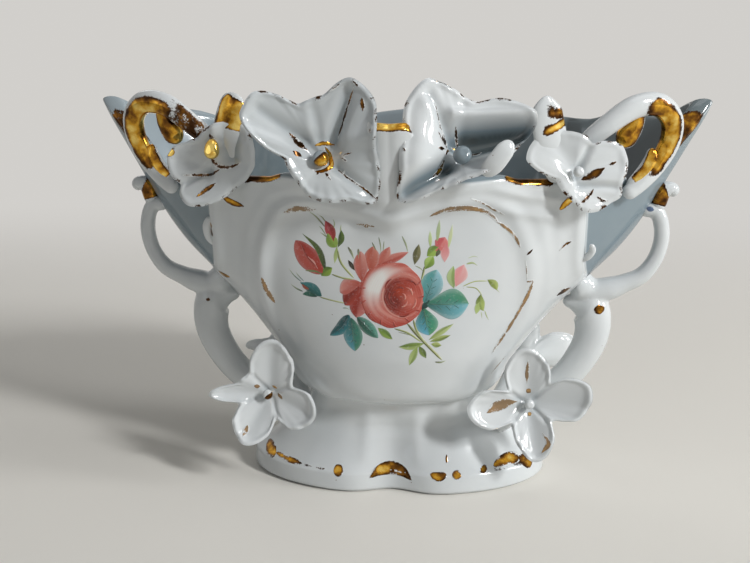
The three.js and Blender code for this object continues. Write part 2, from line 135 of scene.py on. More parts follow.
def seen_directly(tree):
    """1 where the camera or a mirror image looks at it, 0 for the light that it gives."""
    rays = add(tree, "LightPath")
    return math_node(tree, "MAXIMUM", rays.outputs["Is Camera Ray"], rays.outputs["Is Glossy Ray"])


def one_or_other(tree, amount, first, second):
    """The first shader where the amount is 0, the second where it is 1."""
    node = add(tree, "MixShader")
    for socket, value in zip(node.inputs, (amount, first.outputs[0], second.outputs[0])):
        plug(tree, socket, value)
    return node.outputs[0]


PALE_WALL = (0.64, 0.625, 0.6, 1)
world = bpy.data.worlds.new("studio")
bpy.context.scene.world = world
world.use_nodes = True
sky = world.node_tree
room = feed(sky, sky.nodes["Background"], Color=(0.80, 0.82, 0.85, 1), Strength=0.16)
backdrop = add(sky, "Background", Color=PALE_WALL)
feed(sky, sky.nodes["World Output"], Surface=one_or_other(sky, seen_directly(sky), room, backdrop))

# The floor runs up behind the vase in one sweep, like a sheet of pale paper. Far behind the
# vase the paper is lit evenly, so that no horizon shows.
SWEEP_FRONT, SWEEP_BACK, SWEEP_ROUND, SWEEP_HALF = 2.2, 1.1, 0.6, 3.0
SWEEP_HALF_RUN = 3.2
FLOOR_GAP = 0.0002
sweep = bmesh.new()
bmesh.ops.create_grid(sweep, x_segments=2, y_segments=48, size=1)
for vert in sweep.verts:
    run = (vert.co.y + 1) * SWEEP_HALF_RUN - SWEEP_FRONT
    turn = min(math.pi / 2, max(0, run - SWEEP_BACK) / SWEEP_ROUND)
    rest = max(0, run - SWEEP_BACK - SWEEP_ROUND * math.pi / 2)
    y = min(run, SWEEP_BACK) + SWEEP_ROUND * math.sin(turn)
    z = SWEEP_ROUND * (1 - math.cos(turn)) + rest
    vert.co = (vert.co.x * SWEEP_HALF, y, z + cad_box[0].z - FLOOR_GAP)
sweep_mesh = bpy.data.meshes.new("paper_sweep")
sweep.to_mesh(sweep_mesh)
sweep.free()
for face in sweep_mesh.polygons:
    face.use_smooth = True
paper_sweep = bpy.data.objects.new("paper_sweep", sweep_mesh)
bpy.context.scene.collection.objects.link(paper_sweep)


def tone(code):
    """Colour written as it looks, in hexadecimal, turned into the light that it gives back."""
    parts = [int(code[i : i + 2], 16) / 255 for i in (0, 2, 4)]
    return (*(v / 12.92 if v <= 0.04045 else ((v + 0.055) / 1.055) ** 2.4 for v in parts), 1)


def new_material(name):
    material = bpy.data.materials.new(name)
    material.use_nodes = True
    return material, material.node_tree, material.node_tree.nodes["Principled BSDF"]


def object_place(tree):
    return add(tree, "TexCoord").outputs["Object"]


paper, weave, near = new_material("paper")
feed(weave, near, Base_Color=tone("e4e1da"), Roughness=0.95)
far = add(weave, "Emission", Color=PALE_WALL)
place = add(weave, "SeparateXYZ", Vector=object_place(weave))
depth = add(weave, "MapRange", From_Min=0.1, From_Max=0.8, Value=place.outputs["Y"])
depth.interpolation_type = "SMOOTHSTEP"
amount = math_node(weave, "MULTIPLY", depth.outputs["Result"], seen_directly(weave))
feed(weave, weave.nodes["Material Output"], Surface=one_or_other(weave, amount, near, far))
sweep_mesh.materials.append(paper)

# The bowl: one slip-cast shell of hard porcelain, pinched to a point at both ends like a fan.
# A white moulded panel stands out of each face, and the ends are washed with a pale blue-grey
# ground under the glaze. Its two walls are 4 mm thick and meet in a rounded rim.
TIP_HEIGHT = 170
WAIST_HEIGHT = 38
WALL = 4
TIP_WALL = 9
BOWL_FLOOR = 44
RIM_MEASURED_AT = 150
# height, half length, depth of the front and of the back, how sharply the ends close
WALL_STATIONS = [
    (WAIST_HEIGHT, 34, 27, 27, 0.5), (41, 43, 32.5, 32.5, 0.5), (45, 47.2, 35.5, 35.5, 0.5),
    (54, 52, 38.5, 38.5, 0.52), (64, 59, 41.5, 41.5, 0.56), (80, 73, 43.5, 43.5, 0.64),
    (93, 86.4, 44.5, 44.5, 0.7), (105, 98, 45, 45, 0.74), (116, 106, 45.5, 45.5, 0.78),
    (131, 114.6, 46.5, 46, 0.8), (150, 125, 49.5, 48, 0.8), (163, 132, 54, 50, 0.8),
    (TIP_HEIGHT, 135, 56, 52, 0.8),
]
# share of the way from the middle to the tip, height of the rim
FRONT_RIM = [
    (0, 163), (0.05, 163.4), (0.09, 158), (0.15, 145.5), (0.22, 141), (0.35, 142), (0.42, 140),
    (0.55, 139.6), (0.62, 143), (0.7, 146), (0.78, 141), (0.85, 132.5), (0.915, 137), (0.945, 149),
    (0.965, 157), (1, TIP_HEIGHT),
]
BACK_RIM = [
    (0, 162), (0.12, 160), (0.24, 157), (0.36, 160), (0.46, 163), (0.58, 160), (0.7, 159),
    (0.82, 163), (0.92, 161.5), (1, TIP_HEIGHT),
]
# height, half width of the panel
PANEL_EDGE = [(86, 90), (95, 82.5), (106, 80.5), (128, 80), (165, 78)]
# direction in degrees from the middle, reach of the border
BORDER_MIDDLE = (0, 95)
BORDER = [
    (0, 58), (32, 58), (62, 38), (90, 29), (118, 37), (148, 56), (180, 57), (218, 58), (270, 66), (322, 58),
]


def hermite(t):
    """Weights of the start, its slope, the end and its slope on a smooth cubic."""
    return 2 * t**3 - 3 * t**2 + 1, t**3 - 2 * t**2 + t, 3 * t**2 - 2 * t**3, t**3 - t**2


def smooth_rows(rows):
    """Smooth curve without overshoot through rows of (place, value, value, ...)."""
    last = len(rows) - 1
    values = range(1, len(rows[0]))

    def rise(k, c):
        return (rows[k + 1][c] - rows[k][c]) / (rows[k + 1][0] - rows[k][0])

    def slope(k, c):
        if k in (0, last):
            return rise(min(k, last - 1), c)
        product = rise(k - 1, c) * rise(k, c)
        return 2 * product / (rise(k - 1, c) + rise(k, c)) if product > 0 else 0

    slopes = [[slope(k, c) for c in values] for k in range(last + 1)]

    def value(at):
        if at <= rows[0][0]:
            return rows[0][1:]
        if at >= rows[last][0]:
            return rows[last][1:]
        k = 0
        while rows[k + 1][0] <= at:
            k += 1
        span = rows[k + 1][0] - rows[k][0]
        a, b, c, d = hermite((at - rows[k][0]) / span)
        here, there = rows[k], rows[k + 1]
        return [
            a * here[j + 1] + b * span * slopes[k][j] + c * there[j + 1] + d * span * slopes[k + 1][j]
            for j in range(len(here) - 1)
        ]

    return value


def round_rows(rows):
    """The same curve closed round a full turn of directions in degrees."""
    value = smooth_rows([(r[0] + turn, *r[1:]) for turn in (-360, 0, 360) for r in sorted(rows)])
    return lambda degrees: value(degrees % 360)


def step(low, high, at):
    t = min(1, max(0, (at - low) / (high - low)))
    return t * t * (3 - 2 * t)


def hump(distance, width):
    return math.exp(-((distance / width) ** 2))


wall_sizes = smooth_rows(WALL_STATIONS)
panel_edge = smooth_rows(PANEL_EDGE)
border_reach = round_rows(BORDER)
front_rim = smooth_rows(FRONT_RIM)
back_rim = smooth_rows(BACK_RIM)


def wall_relief(x, z, face):
    """How far the moulding stands out of the smooth wall."""
    beyond = abs(x) - panel_edge(z)[0]
    # the mould was worn at the right, so its lines are fainter there
    worn = 1 - 0.45 * step(10, 40, x)
    # the panel with a bead and a groove along its edge
    relief = 3.5 * (1 - step(-0.9, 0.9, beyond))
    relief += 1.5 * hump(beyond + 3.2, 2.3) * step(84, 100, z) * worn
    relief -= 0.7 * hump(beyond + 8.5, 3) * step(90, 110, z) * worn
    # the heart-shaped border round the painting
    dx, dz = x - BORDER_MIDDLE[0], z - BORDER_MIDDLE[1]
    reach = math.hypot(dx, dz) - border_reach(math.degrees(math.atan2(dz, dx)))[0]
    relief += worn * (1.7 * hump(reach, 3.4) - 0.5 * hump(reach + 7, 4) + 0.5 * hump(reach - 7.5, 2.4))
    relief -= 1.2 * hump(abs(x) - 66, 4) * step(92, 104, z) * worn
    # two folds of drapery under the right flower, and the swell that carries the flowers
    for drop in (0, 7.5) if face < 0 else ():
        relief += 1.1 * hump(z - 136 + drop + 0.2 * (x - 40), 2.2) * step(36, 46, x) * (1 - step(66, 74, x))
    relief += 7 * hump(abs(x) - 23, 21) * step(120, 146, z)
    # the saddle in the middle of the front
    if face < 0:
        relief += 7.5 * hump(x, 11) * step(104, 140, z) - 6 * hump(x - 18, 6) * step(136, 141, z)
    return relief


def wall_point(side, face, share, height, inset=0.0, end_inset=0.0, relief=1.0):
    """Side +1 or -1, face -1 front or +1 back, share 0 in the middle to 1 at the tip."""
    half, front, back, sharpness = wall_sizes(height)
    x = (half - end_inset) * share
    bulge = max(0.0, 1 - share**2.15) ** sharpness
    raised = relief * wall_relief(x * side, height, face) * min(1, 3 * bulge)
    return side * x, face * (((front if face < 0 else back) - inset) * bulge + raised), height


def column_share(u, height):
    """Columns of the wall follow the panel's edge, where they lie closest."""
    edge = min(0.94, panel_edge(height)[0] / wall_sizes(height)[0])
    half_band = 0.017
    if u <= 0.6:
        return (edge - half_band) * u / 0.6
    if u <= 0.7:
        return edge + half_band * (u - 0.65) / 0.05
    start = edge + half_band
    return start + (1 - start) * math.sin((u - 0.7) / 0.3 * math.pi / 2)


SEAM = 0.004 * MM


def moulded(columns, rows, place):
    """Presses a flat sheet into shape: place(u, v) gives x, y, z, the gilt, and the blue-grey ground with the
    painted shade.
    """
    sheet = bmesh.new()
    bmesh.ops.create_grid(sheet, x_segments=columns, y_segments=rows, size=1)
    gilt, ground_and_painted_shade = (sheet.verts.layers.float.new(name) for name in ("gilt", "ground_and_painted_shade"))
    for vert in sheet.verts:
        *found, vert[gilt], vert[ground_and_painted_shade] = place((vert.co.x + 1) / 2, (vert.co.y + 1) / 2)
        vert.co = spot(*found)
    return sheet


def sewn(sheet, verts=None):
    """Merges the points that lie on one another, where two edges of a sheet meet."""
    bmesh.ops.remove_doubles(sheet, verts=verts or sheet.verts, dist=SEAM)
    return sheet


def capped(sheet):
    """Closes the seams of a shell and the small holes left in its floor and foot."""
    sewn(sheet)
    bmesh.ops.holes_fill(sheet, edges=sheet.edges, sides=0)
    return sheet


def fired(sheet, name, material, slot, *nodes):
    """Closes the seams and turns the sheet into a finished piece of the vase."""
    sewn(sheet)
    bmesh.ops.dissolve_degenerate(sheet, dist=0.001 * MM, edges=sheet.edges)
    bmesh.ops.recalc_face_normals(sheet, faces=sheet.faces)
    for face in sheet.faces:
        face.smooth = True
    mesh = bpy.data.meshes.new(name)
    sheet.to_mesh(mesh)
    sheet.free()
    mesh.materials.append(material)
    piece = bpy.data.objects.new(name, mesh)
    bpy.context.scene.collection.objects.link(piece)
    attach(piece, "root")
    if nodes:
        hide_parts(*nodes)
    return piece


def group_with(name, inputs, outputs):
    """Starts a node group with named number inputs and outputs."""
    group = bpy.data.node_groups.new(name, "ShaderNodeTree")
    for label, value in inputs.items():
        group.interface.new_socket(label, in_out="INPUT", socket_type="NodeSocketFloat").default_value = value
    for label, kind in outputs.items():
        group.interface.new_socket(label, in_out="OUTPUT", socket_type="NodeSocket" + kind)
    return group, group.nodes.new("NodeGroupInput"), group.nodes.new("NodeGroupOutput")


def ramp(tree, value, *stops):
    node = add(tree, "ValToRGB", Fac=value)
    elements = node.color_ramp.elements
    while len(elements) < len(stops):
        elements.new(0.5)
    for element, (at, colour) in zip(elements, stops):
        element.position = at
        element.color = colour
    return node.outputs["Color"]


def blend(tree, amount, first, second):
    """Mixes two colours, each a socket or a tone."""
    node = add(tree, "Mix")
    node.data_type = "RGBA"
    node.clamp_factor = True
    for place, value in ((0, amount), (6, first), (7, second)):
        plug(tree, node.inputs[place], value)
    return node.outputs[2]


def noise(tree, scale, detail=3, roughness=0.5):
    node = add(tree, "TexNoise", Scale=scale, Detail=detail, Roughness=roughness, Vector=object_place(tree))
    return node.outputs["Fac"]


def glaze_group():
    """Clear glaze: a slow ripple, a cloudiness in the white, and a few fired-in specks."""
    group, given, out = group_with(
        "glaze", {"Cloud": 0.5}, {"Height": "Float", "Tint": "Float", "Speck": "Float", "Roughness": "Float"}
    )
    dots = add(group, "TexVoronoi", Scale=260, Vector=object_place(group))
    small = math_node(group, "LESS_THAN", dots.outputs["Distance"], 0.07)
    rare = math_node(group, "GREATER_THAN", noise(group, 90, 1), 0.68)
    feed(
        group, out,
        Height=math_node(group, "MULTIPLY_ADD", noise(group, 420, 2), 0.06, noise(group, 55, 2)),
        Tint=math_node(group, "MULTIPLY", noise(group, 28, 4, 0.6), given.outputs["Cloud"]),
        Speck=math_node(group, "MULTIPLY", small, rare),
        Roughness=math_node(group, "MULTIPLY_ADD", noise(group, 140, 3), 0.07, 0.05),
    )
    return group


def gilding_group():
    """Burnished gold, rubbed thin on the edges: bright, then brown, then bare porcelain. Patches of bright
    yellow and dark brown in its colour are painted reflection.
    """
    group, given, out = group_with(
        "gilding", {"Laid": 0.0, "Wear": 0.5}, {"Cover": "Float", "Colour": "Color", "Roughness": "Float"}
    )
    laid = given.outputs["Laid"]
    broad, fine = noise(group, 210, 4, 0.65), noise(group, 1500, 3, 0.7)
    rubbed = math_node(group, "MULTIPLY_ADD", fine, 1.1, math_node(group, "MULTIPLY_ADD", broad, 2.2, -1.02))
    left = math_node(group, "SUBTRACT", laid, math_node(group, "MULTIPLY", rubbed, given.outputs["Wear"]))
    thick = math_node(group, "MULTIPLY_ADD", laid, 0.5, -0.35)
    # painted reflection: noise spreads the gold from dark brown to pale yellow, standing in for the dark room
    # and the lamps mirrored in it; thicker gold also comes out brighter
    thickness_and_painted_reflection = math_node(group, "MULTIPLY_ADD", noise(group, 150, 3, 0.55), 0.85, thick)
    colour = ramp(
        group, thickness_and_painted_reflection,
        (0.36, tone("3d240c")), (0.47, tone("82551c")), (0.57, tone("cf9a30")), (0.7, tone("f3d274")),
    )
    edge = math_node(group, "MULTIPLY_ADD", left, 3.0, 0.1, clamp=True)
    feed(
        group, out,
        Cover=math_node(group, "MULTIPLY_ADD", left, 9.0, -0.6, clamp=True),
        Colour=blend(group, edge, tone("4d2f14"), colour),
        Roughness=math_node(group, "MULTIPLY_ADD", fine, 0.16, 0.08),
    )
    return group


GLAZE = glaze_group()
GILDING = gilding_group()
WHITE = tone("d8dbdb")
CLOUDY = tone("c5cbce")
BLUE_GREY = tone("88969b")
BLUE_GREY_DEEP = tone("74838e")
# dark grey painted shade, for the deepest hollows and the inside
PAINTED_SHADE_DARK = tone("4f5859")
SPECK = tone("8c8378")


def placed_group(tree, group, **values):
    node = add(tree, "Group")
    node.node_tree = group
    return feed(tree, node, **values)


def attribute(tree, name, output="Fac"):
    node = add(tree, "Attribute")
    node.attribute_name = name
    return node.outputs[output]


def rippled(tree, glaze):
    """The ripple of the glaze as a bump."""
    bump = add(tree, "Bump", Strength=0.25, Distance=0.0006, Height=glaze.outputs["Height"])
    return bump.outputs["Normal"]


def glazed_porcelain():
    """White body with the blue-grey ground, painted shade where the layer runs above 1, and the gilding where
    the layers say.
    """
    material, tree, skin = new_material("glazed_porcelain")
    glaze = placed_group(tree, GLAZE, Cloud=0.9)
    gold = placed_group(tree, GILDING, Laid=attribute(tree, "gilt"), Wear=0.55)
    cover = gold.outputs["Cover"]
    white = blend(tree, glaze.outputs["Tint"], WHITE, CLOUDY)
    blue = blend(tree, glaze.outputs["Tint"], BLUE_GREY, BLUE_GREY_DEEP)
    blue_ground_and_painted_shade = attribute(tree, "ground_and_painted_shade")
    ground_and_painted_shade = blend(tree, blue_ground_and_painted_shade, white, blue)
    # painted shade: where the layer runs above 1, the colour darkens towards dark grey, standing in for
    # shadow in hollows
    ground_and_painted_shade = blend(tree, math_node(tree, "SUBTRACT", blue_ground_and_painted_shade, 1.0, clamp=True), ground_and_painted_shade, PAINTED_SHADE_DARK)
    ground_and_painted_shade = blend(tree, glaze.outputs["Speck"], ground_and_painted_shade, SPECK)
    difference = math_node(tree, "SUBTRACT", gold.outputs["Roughness"], glaze.outputs["Roughness"])
    feed(
        tree, skin,
        Base_Color=blend(tree, cover, ground_and_painted_shade, gold.outputs["Colour"]),
        Metallic=math_node(tree, "MULTIPLY", cover, 0.9),
        Roughness=math_node(tree, "MULTIPLY_ADD", difference, cover, glaze.outputs["Roughness"]),
        Normal=rippled(tree, glaze), IOR=1.52, Specular_IOR_Level=0.6,
    )
    return material


PORCELAIN = glazed_porcelain()

SIDE_COLUMNS = 150
BACK_SIDE_COLUMNS = 72
OUTER_ROWS, CREST_ROWS, INNER_ROWS, FLOOR_ROWS = 104, 8, 44, 10
BOWL_COLUMNS = 2 * (SIDE_COLUMNS + BACK_SIDE_COLUMNS)
BOWL_ROWS = OUTER_ROWS + CREST_ROWS + INNER_ROWS + FLOOR_ROWS


def bowl_layers(x, height, top, share, outside, front):
    """Gilding, blue-grey ground and painted shade at one place of the bowl; x is negative on the left."""
    beyond = abs(x) - panel_edge(height)[0]
    # outside, the blue-grey ground of the ends; inside, painted shade, a blue-grey wash that is darker on the
    # right and in the hollow at the left, where shadow falls, and above 1 darker still
    if outside:
        ground_and_painted_shade = step(0.2, 1.1, beyond) * (1 - step(top - 3.2, top - 1.6, height))
    else:
        ground_and_painted_shade = 0.85 + 0.8 * (step(15, 70, x) + hump(x + 66, 17))
    # a gold band at each tip, and gold along the rim in the saddle and beside the flowers
    band = step(0.945, 0.955, share) * (1 - step(0.98, 0.99, share))
    gilt = band * step(top - 8, top - 5, height) * (0.85 if x > 0 else 0.6) * front
    saddle = (1 - step(7.5, 9.5, abs(x))) * 0.98 + step(44, 46, abs(x)) * (1 - step(64, 66, abs(x))) * 0.74
    if front:
        gilt = max(gilt, saddle * step(top - 3.6, top - 2.2, height))
    return gilt, ground_and_painted_shade


def bowl_place(u, v):
    """From the waist up the outside, over the rim, down the inside and to the middle of the floor."""
    row, column = v * BOWL_ROWS, u * BOWL_COLUMNS
    if column < 2 * BACK_SIDE_COLUMNS:
        face, across = 1, 1 - column / BACK_SIDE_COLUMNS
    else:
        face, across = -1, (column - 2 * BACK_SIDE_COLUMNS) / SIDE_COLUMNS - 1
    side, c = math.copysign(1, across), min(1, abs(across))
    rim = (front_rim if face < 0 else back_rim)(column_share(c, RIM_MEASURED_AT))[0]
    top = rim - WALL / 2
    inset = end_inset = 0.0
    outside = row <= OUTER_ROWS
    if outside:
        height = WAIST_HEIGHT + (top - WAIST_HEIGHT) * (row / OUTER_ROWS) ** 1.1
    elif row <= OUTER_ROWS + CREST_ROWS:
        angle = math.pi * (row - OUTER_ROWS) / CREST_ROWS
        height = top + WALL / 2 * math.sin(angle)
        inset = WALL / 2 * (1 - math.cos(angle))
        end_inset = TIP_WALL / 2 * (1 - math.cos(angle))
    else:
        down = min(1, (row - OUTER_ROWS - CREST_ROWS) / INNER_ROWS)
        height = top - (top - BOWL_FLOOR) * down
        inset, end_inset = WALL, TIP_WALL
    share = column_share(c, height)
    relief = 1 if outside else 0.8
    x, y, z = wall_point(side, face, share, height, inset, end_inset, relief)
    gilt, ground_and_painted_shade = bowl_layers(x, height, rim, share, outside, face < 0)
    towards_middle = row - OUTER_ROWS - CREST_ROWS - INNER_ROWS
    if towards_middle > 0:
        left = 1 - towards_middle / FLOOR_ROWS
        x, y, z = x * left, y * left, z - 1.2 * math.sin(math.pi / 2 * (1 - left))
    return x, y, z, gilt, ground_and_painted_shade


fired(capped(moulded(BOWL_COLUMNS, BOWL_ROWS, bowl_place)), "bowl", PORCELAIN, "porcelain", "vase_body")

# The foot: a hollow oval pedestal, thrown up in one mould with a notch in the middle of each
# long side, and luted to the bowl at the waist. It rests on a narrow unglazed ring.
# height, half length and half depth
FOOT_STATIONS = [
    (0, 66, 39.5), (1.5, 67.8, 41), (8, 67.3, 40.6), (10.5, 64.5, 38.8), (15, 59, 35.8),
    (21, 53, 32.4), (28, 46, 29), (33, 41.6, 28.8), (WAIST_HEIGHT, 41, 30.6), (41, 43.4, 33),
    (43.6, 45.9, 34.8), (45, 44.6, 33.4),
]
FOOT_TOP = 45
FOOT_WALL = 6
FOOT_HOLLOW = 28
foot_sizes = smooth_rows(FOOT_STATIONS)
FOOT_CAP, FOOT_UP, FOOT_RING, FOOT_IN, FOOT_ROOF = 4, 72, 4, 14, 8
FOOT_COLUMNS, FOOT_ROWS = 260, FOOT_CAP + FOOT_UP + FOOT_RING + FOOT_IN + FOOT_ROOF
FOOT_OVAL = 0.92
# the cap is hidden inside the floor of the bowl
CAP_DROP, CAP_IN = 5, 8


def foot_surface(x, height, face, inset=0.0):
    """Depth of the foot at x, with its flutes; the notch fades towards the waist."""
    half, depth = foot_sizes(height)
    half, depth = half - inset, depth - inset
    cosine = min(1, (abs(x) / half)) ** (1 / FOOT_OVAL)
    sine = math.sqrt(max(0, 1 - cosine**2))
    # the notch, two flutes beside a hollow, and a small palmette at the collar
    notch = 6.5 * hump(x, 13) * (1 - step(8, WAIST_HEIGHT, height))
    flutes = 0.0
    if inset == 0:
        rising = step(10, 16, height) * (1 - 0.6 * step(30, 38, height))
        flutes = (0.9 * hump(abs(x + 1) - 11, 3.5) - 0.9 * hump(x + 1, 5)) * rising
        leaf_tips = 0.55 + 0.45 * math.cos(2 * math.pi * (x + 8.5) / 7)
        flutes += 1.3 * leaf_tips * hump(x + 8.5, 8) * hump(height - 42.4, 2.2)
    return face * (depth * sine - notch + flutes * min(1, 3 * sine))


def foot_place(u, v):
    """From the cap inside the bowl down the outside, under the ring and up into the hollow."""
    row = v * FOOT_ROWS - FOOT_CAP
    angle = 2 * math.pi * u
    inset = 0.0
    if row < 0:
        height = FOOT_TOP + CAP_DROP * row / FOOT_CAP
        inset = -CAP_IN * row / FOOT_CAP
    elif row <= FOOT_UP:
        height = FOOT_TOP * (1 - row / FOOT_UP) ** 1.2
    elif row <= FOOT_UP + FOOT_RING:
        height = 0.0
        inset = FOOT_WALL * (row - FOOT_UP) / FOOT_RING
    else:
        height = FOOT_HOLLOW * min(1, (row - FOOT_UP - FOOT_RING) / FOOT_IN)
        inset = FOOT_WALL
    half = foot_sizes(height)[0] - inset
    x = half * math.copysign(abs(math.cos(angle)) ** FOOT_OVAL, math.cos(angle))
    face = -1 if math.sin(angle) < 0 else 1
    y = foot_surface(x, height, face, inset)
    roof = row - FOOT_UP - FOOT_RING - FOOT_IN
    if roof > 0:
        left = 1 - roof / FOOT_ROOF
        x, y = x * left, y * left
    # the last trace of a gold line, at the right of the front
    trace = hump(height - 9.4, 0.8) * step(37.5, 37.7, x) if inset == 0 and face < 0 else 0
    return x, y, height, 0.42 * trace, 0.0


fired(capped(moulded(FOOT_COLUMNS, FOOT_ROWS, foot_place)), "foot", PORCELAIN, "porcelain", "foot")

# The handles: two C-scrolls on each side, rolled by hand and luted end to end, with a curled
# bud on top. The thin upper scroll hangs from the rim and the stout lower one runs to the foot.
ACROSS_HANDLE = Vector((0, 1, 0))
# x, y, z and radius along each coil of the right side; the left side is its mirror image
UPPER_SCROLL = [
    (106, 0, 121, 3), (113, 0, 121, 3.4), (116.2, 0, 112, 3.5), (114.5, 0, 101, 3.5),
    (108.7, 0, 92.2, 3.8), (101, 0, 88.2, 4.3), (94, 0, 85.6, 5.4), (87, 0, 84.6, 5.6),
]
LOWER_SCROLL = [
    (74, 0, 79.8, 2), (80, 0, 79, 4.6), (86, 0, 76.4, 8.8), (87.9, 0, 70.5, 8.3), (87.2, 0, 62, 7.7),
    (82.6, 0, 52, 7.2), (75, 0, 42.3, 6.8), (62, 0, 33, 6.6), (48, 0, 26, 6),
]
HANDLE_CURL = [
    (113, 0, 119.5, 2.2), (114.2, 0, 125, 3.4), (115.8, 0, 130, 3.7), (119.4, 0, 130.5, 3.3),
    (120.8, 0, 127.6, 1.8),
]


def bend(points, t):
    """Point and direction on the smooth curve through the points, at t from 0 to 1."""
    last = len(points) - 1
    k = min(int(t * last), last - 1)
    f = t * last - k
    p1, p2 = points[k], points[k + 1]
    p0 = points[k - 1] if k else p1 * 2 - p2
    p3 = points[k + 2] if k + 2 <= last else p2 * 2 - p1
    d0, d1, d2 = (p1 - p0).length ** 0.5, (p2 - p1).length ** 0.5, (p3 - p2).length ** 0.5
    m1 = ((p1 - p0) / d0 - (p2 - p0) / (d0 + d1) + (p2 - p1) / d1) * d1
    m2 = ((p2 - p1) / d1 - (p3 - p1) / (d1 + d2) + (p3 - p2) / d2) * d1
    a, b, c, d = hermite(f)
    place = p1 * a + m1 * b + p2 * c + m2 * d
    way = p1 * (6 * f * f - 6 * f) + m1 * (3 * f * f - 4 * f + 1) + p2 * (6 * f - 6 * f * f)
    return place, (way + m2 * (3 * f * f - 2 * f)).normalized()


def rolled(rows, across, flat, steps, sides, side=1, gold=None):
    """Rolled and bent coil of clay: rows of (x, y, z, radius), flattened across, with round ends."""
    points = [Vector(r[:3]) for r in rows]
    thickness = smooth_rows([(i / (len(rows) - 1), r[3]) for i, r in enumerate(rows)])
    length = sum((b - a).length for a, b in zip(points, points[1:]))

    def place(u, t):
        middle, way = bend(points, t)
        radius = thickness(t)[0]
        cap = min(1, min(t, 1 - t) * length / radius + 1e-6)
        end = math.sqrt(1 - (1 - cap) ** 2)
        turn = 2 * math.pi * u
        out = (across - way * across.dot(way)).normalized()
        inward = out.cross(way)
        reach = radius * end
        p = middle + inward * (reach * math.cos(turn)) + out * (reach * flat * math.sin(turn))
        gilt = gold(t, turn) if gold else 0.0
        return side * p.x, p.y, p.z, gilt, 0.0

    return moulded(sides, steps, place)


MELT_GRAIN, MELT_ROUNDS = 0.65, 14


def joined(*sheets):
    """One piece of clay from several coils."""
    first = sheets[0]
    for sheet in sheets[1:]:
        mesh = bpy.data.meshes.new("joined")
        sheet.to_mesh(mesh)
        sheet.free()
        first.from_mesh(mesh)
        bpy.data.meshes.remove(mesh)
    return first


def melted(sheet):
    """Slip and glaze fill the joint between two coils, so that they flow into one form."""
    sewn(sheet)
    mesh = bpy.data.meshes.new("melted")
    sheet.to_mesh(mesh)
    sheet.free()
    raw = bpy.data.objects.new("melted", mesh)
    bpy.context.scene.collection.objects.link(raw)
    skin = raw.modifiers.new("skin", "REMESH")
    skin.mode = "VOXEL"
    skin.voxel_size = MELT_GRAIN * MM
    flow = raw.modifiers.new("flow", "SMOOTH")
    flow.factor = 0.5
    flow.iterations = MELT_ROUNDS
    whole = bmesh.new()
    whole.from_object(raw, bpy.context.evaluated_depsgraph_get())
    bpy.data.objects.remove(raw)
    bpy.data.meshes.remove(mesh)
    return whole


# the end of the upper scroll swells into a knee on the lower one
KNEE = [(81, 0, 87, 7.2), (76.5, 0, 87, 5)]
for word, side in (("left", -1), ("right", 1)):
    handle = word + "_handle"
    upper = rolled(UPPER_SCROLL + KNEE, ACROSS_HANDLE, 1, 120, 36, side)
    lower = rolled(LOWER_SCROLL, ACROSS_HANDLE, 0.8, 140, 44, side)
    fired(
        melted(joined(upper, lower)), handle, PORCELAIN, "porcelain",
        handle + "_upper_scroll", handle + "_lower_scroll",
    )

    def bud_gold(t, turn):
        return (1.0 if side > 0 else 0.72) * step(0.16, 0.24, t) * (1 - step(0.5, 0.64, t))

    bud = rolled(HANDLE_CURL, ACROSS_HANDLE, 0.95, 60, 30, side, bud_gold)
    fired(bud, handle + "_bud", PORCELAIN, "gilding", handle + "_curl")

# The openwork scrolls on the shoulders: an open C-ring with a volute and a leaf inside it,
# stuck to the rim. The inner faces were gilded all over, and the gold is rubbed at the edges.
ACROSS_RIM = Vector((0.3, -0.95, 0.05)).normalized()
# x, y, z and radius along each coil; x is counted away from the middle on both sides
RING = [
    (76, -33.2, 145, 4), (78, -33, 153, 4), (87, -32.5, 161.5, 4.4), (97.5, -29.5, 168, 4.8),
    (107.5, -25, 168.5, 4.9), (113.6, -20.5, 162.5, 4.9), (114.2, -17, 153.5, 4.6),
    (110, -17.5, 144.5, 4.2), (103.5, -20, 137, 3.8), (95.5, -23, 130.5, 3.2),
]
VOLUTE = [(99, -28, 167.5, 2.8), (98, -27.5, 161, 3.6), (94.5, -27.5, 155.5, 4.6), (91.5, -27.8, 152, 2.8)]
RING_LEAF = [(97, -22, 133, 3), (103, -20, 138.5, 4), (106.5, -19, 145, 3.6), (106.5, -19.5, 150.5, 1.6)]
LEFT_LEAF = [
    (70, -38.5, 139, 4), (69.5, -39, 149, 6), (68.5, -39.5, 159, 6.6), (66, -40.5, 167.5, 6.2),
    (63.4, -41.5, 173, 4.4),
]
RIGHT_LEAF = [
    (66, -39.5, 138, 4), (65, -40, 147, 5), (63, -41, 156, 7), (61, -42.5, 166, 6.6), (60.5, -43.5, 173, 2),
]


def inner_gold(start, stop, amount=1.0, towards=140):
    """Gold on the side of the coil that looks forward and into the ring."""

    def gold(t, turn):
        inside = step(-0.25, 0.75, math.cos(turn - math.radians(towards)))
        return amount * inside * step(start, start + 0.1, t) * (1 - step(stop - 0.1, stop, t))

    return gold


def ring_gold(side):
    """The full gold of the ring, and its worn start on the arm next to the flowers."""
    full = inner_gold(0.32 if side > 0 else 0.22, 0.9)
    worn = inner_gold(0.0, 0.2, 0.62, 90) if side > 0 else inner_gold(0.02, 0.36, 0.6, 90)
    return lambda t, turn: max(full(t, turn), worn(t, turn))


def left_leaf_gold(t, turn):
    across = step(-1.0, -0.55, math.cos(turn))
    return (1.15 - 0.4 * hump(math.cos(turn), 0.35)) * across * step(0.45, 0.56, t) * (1 - step(0.9, 0.97, t))


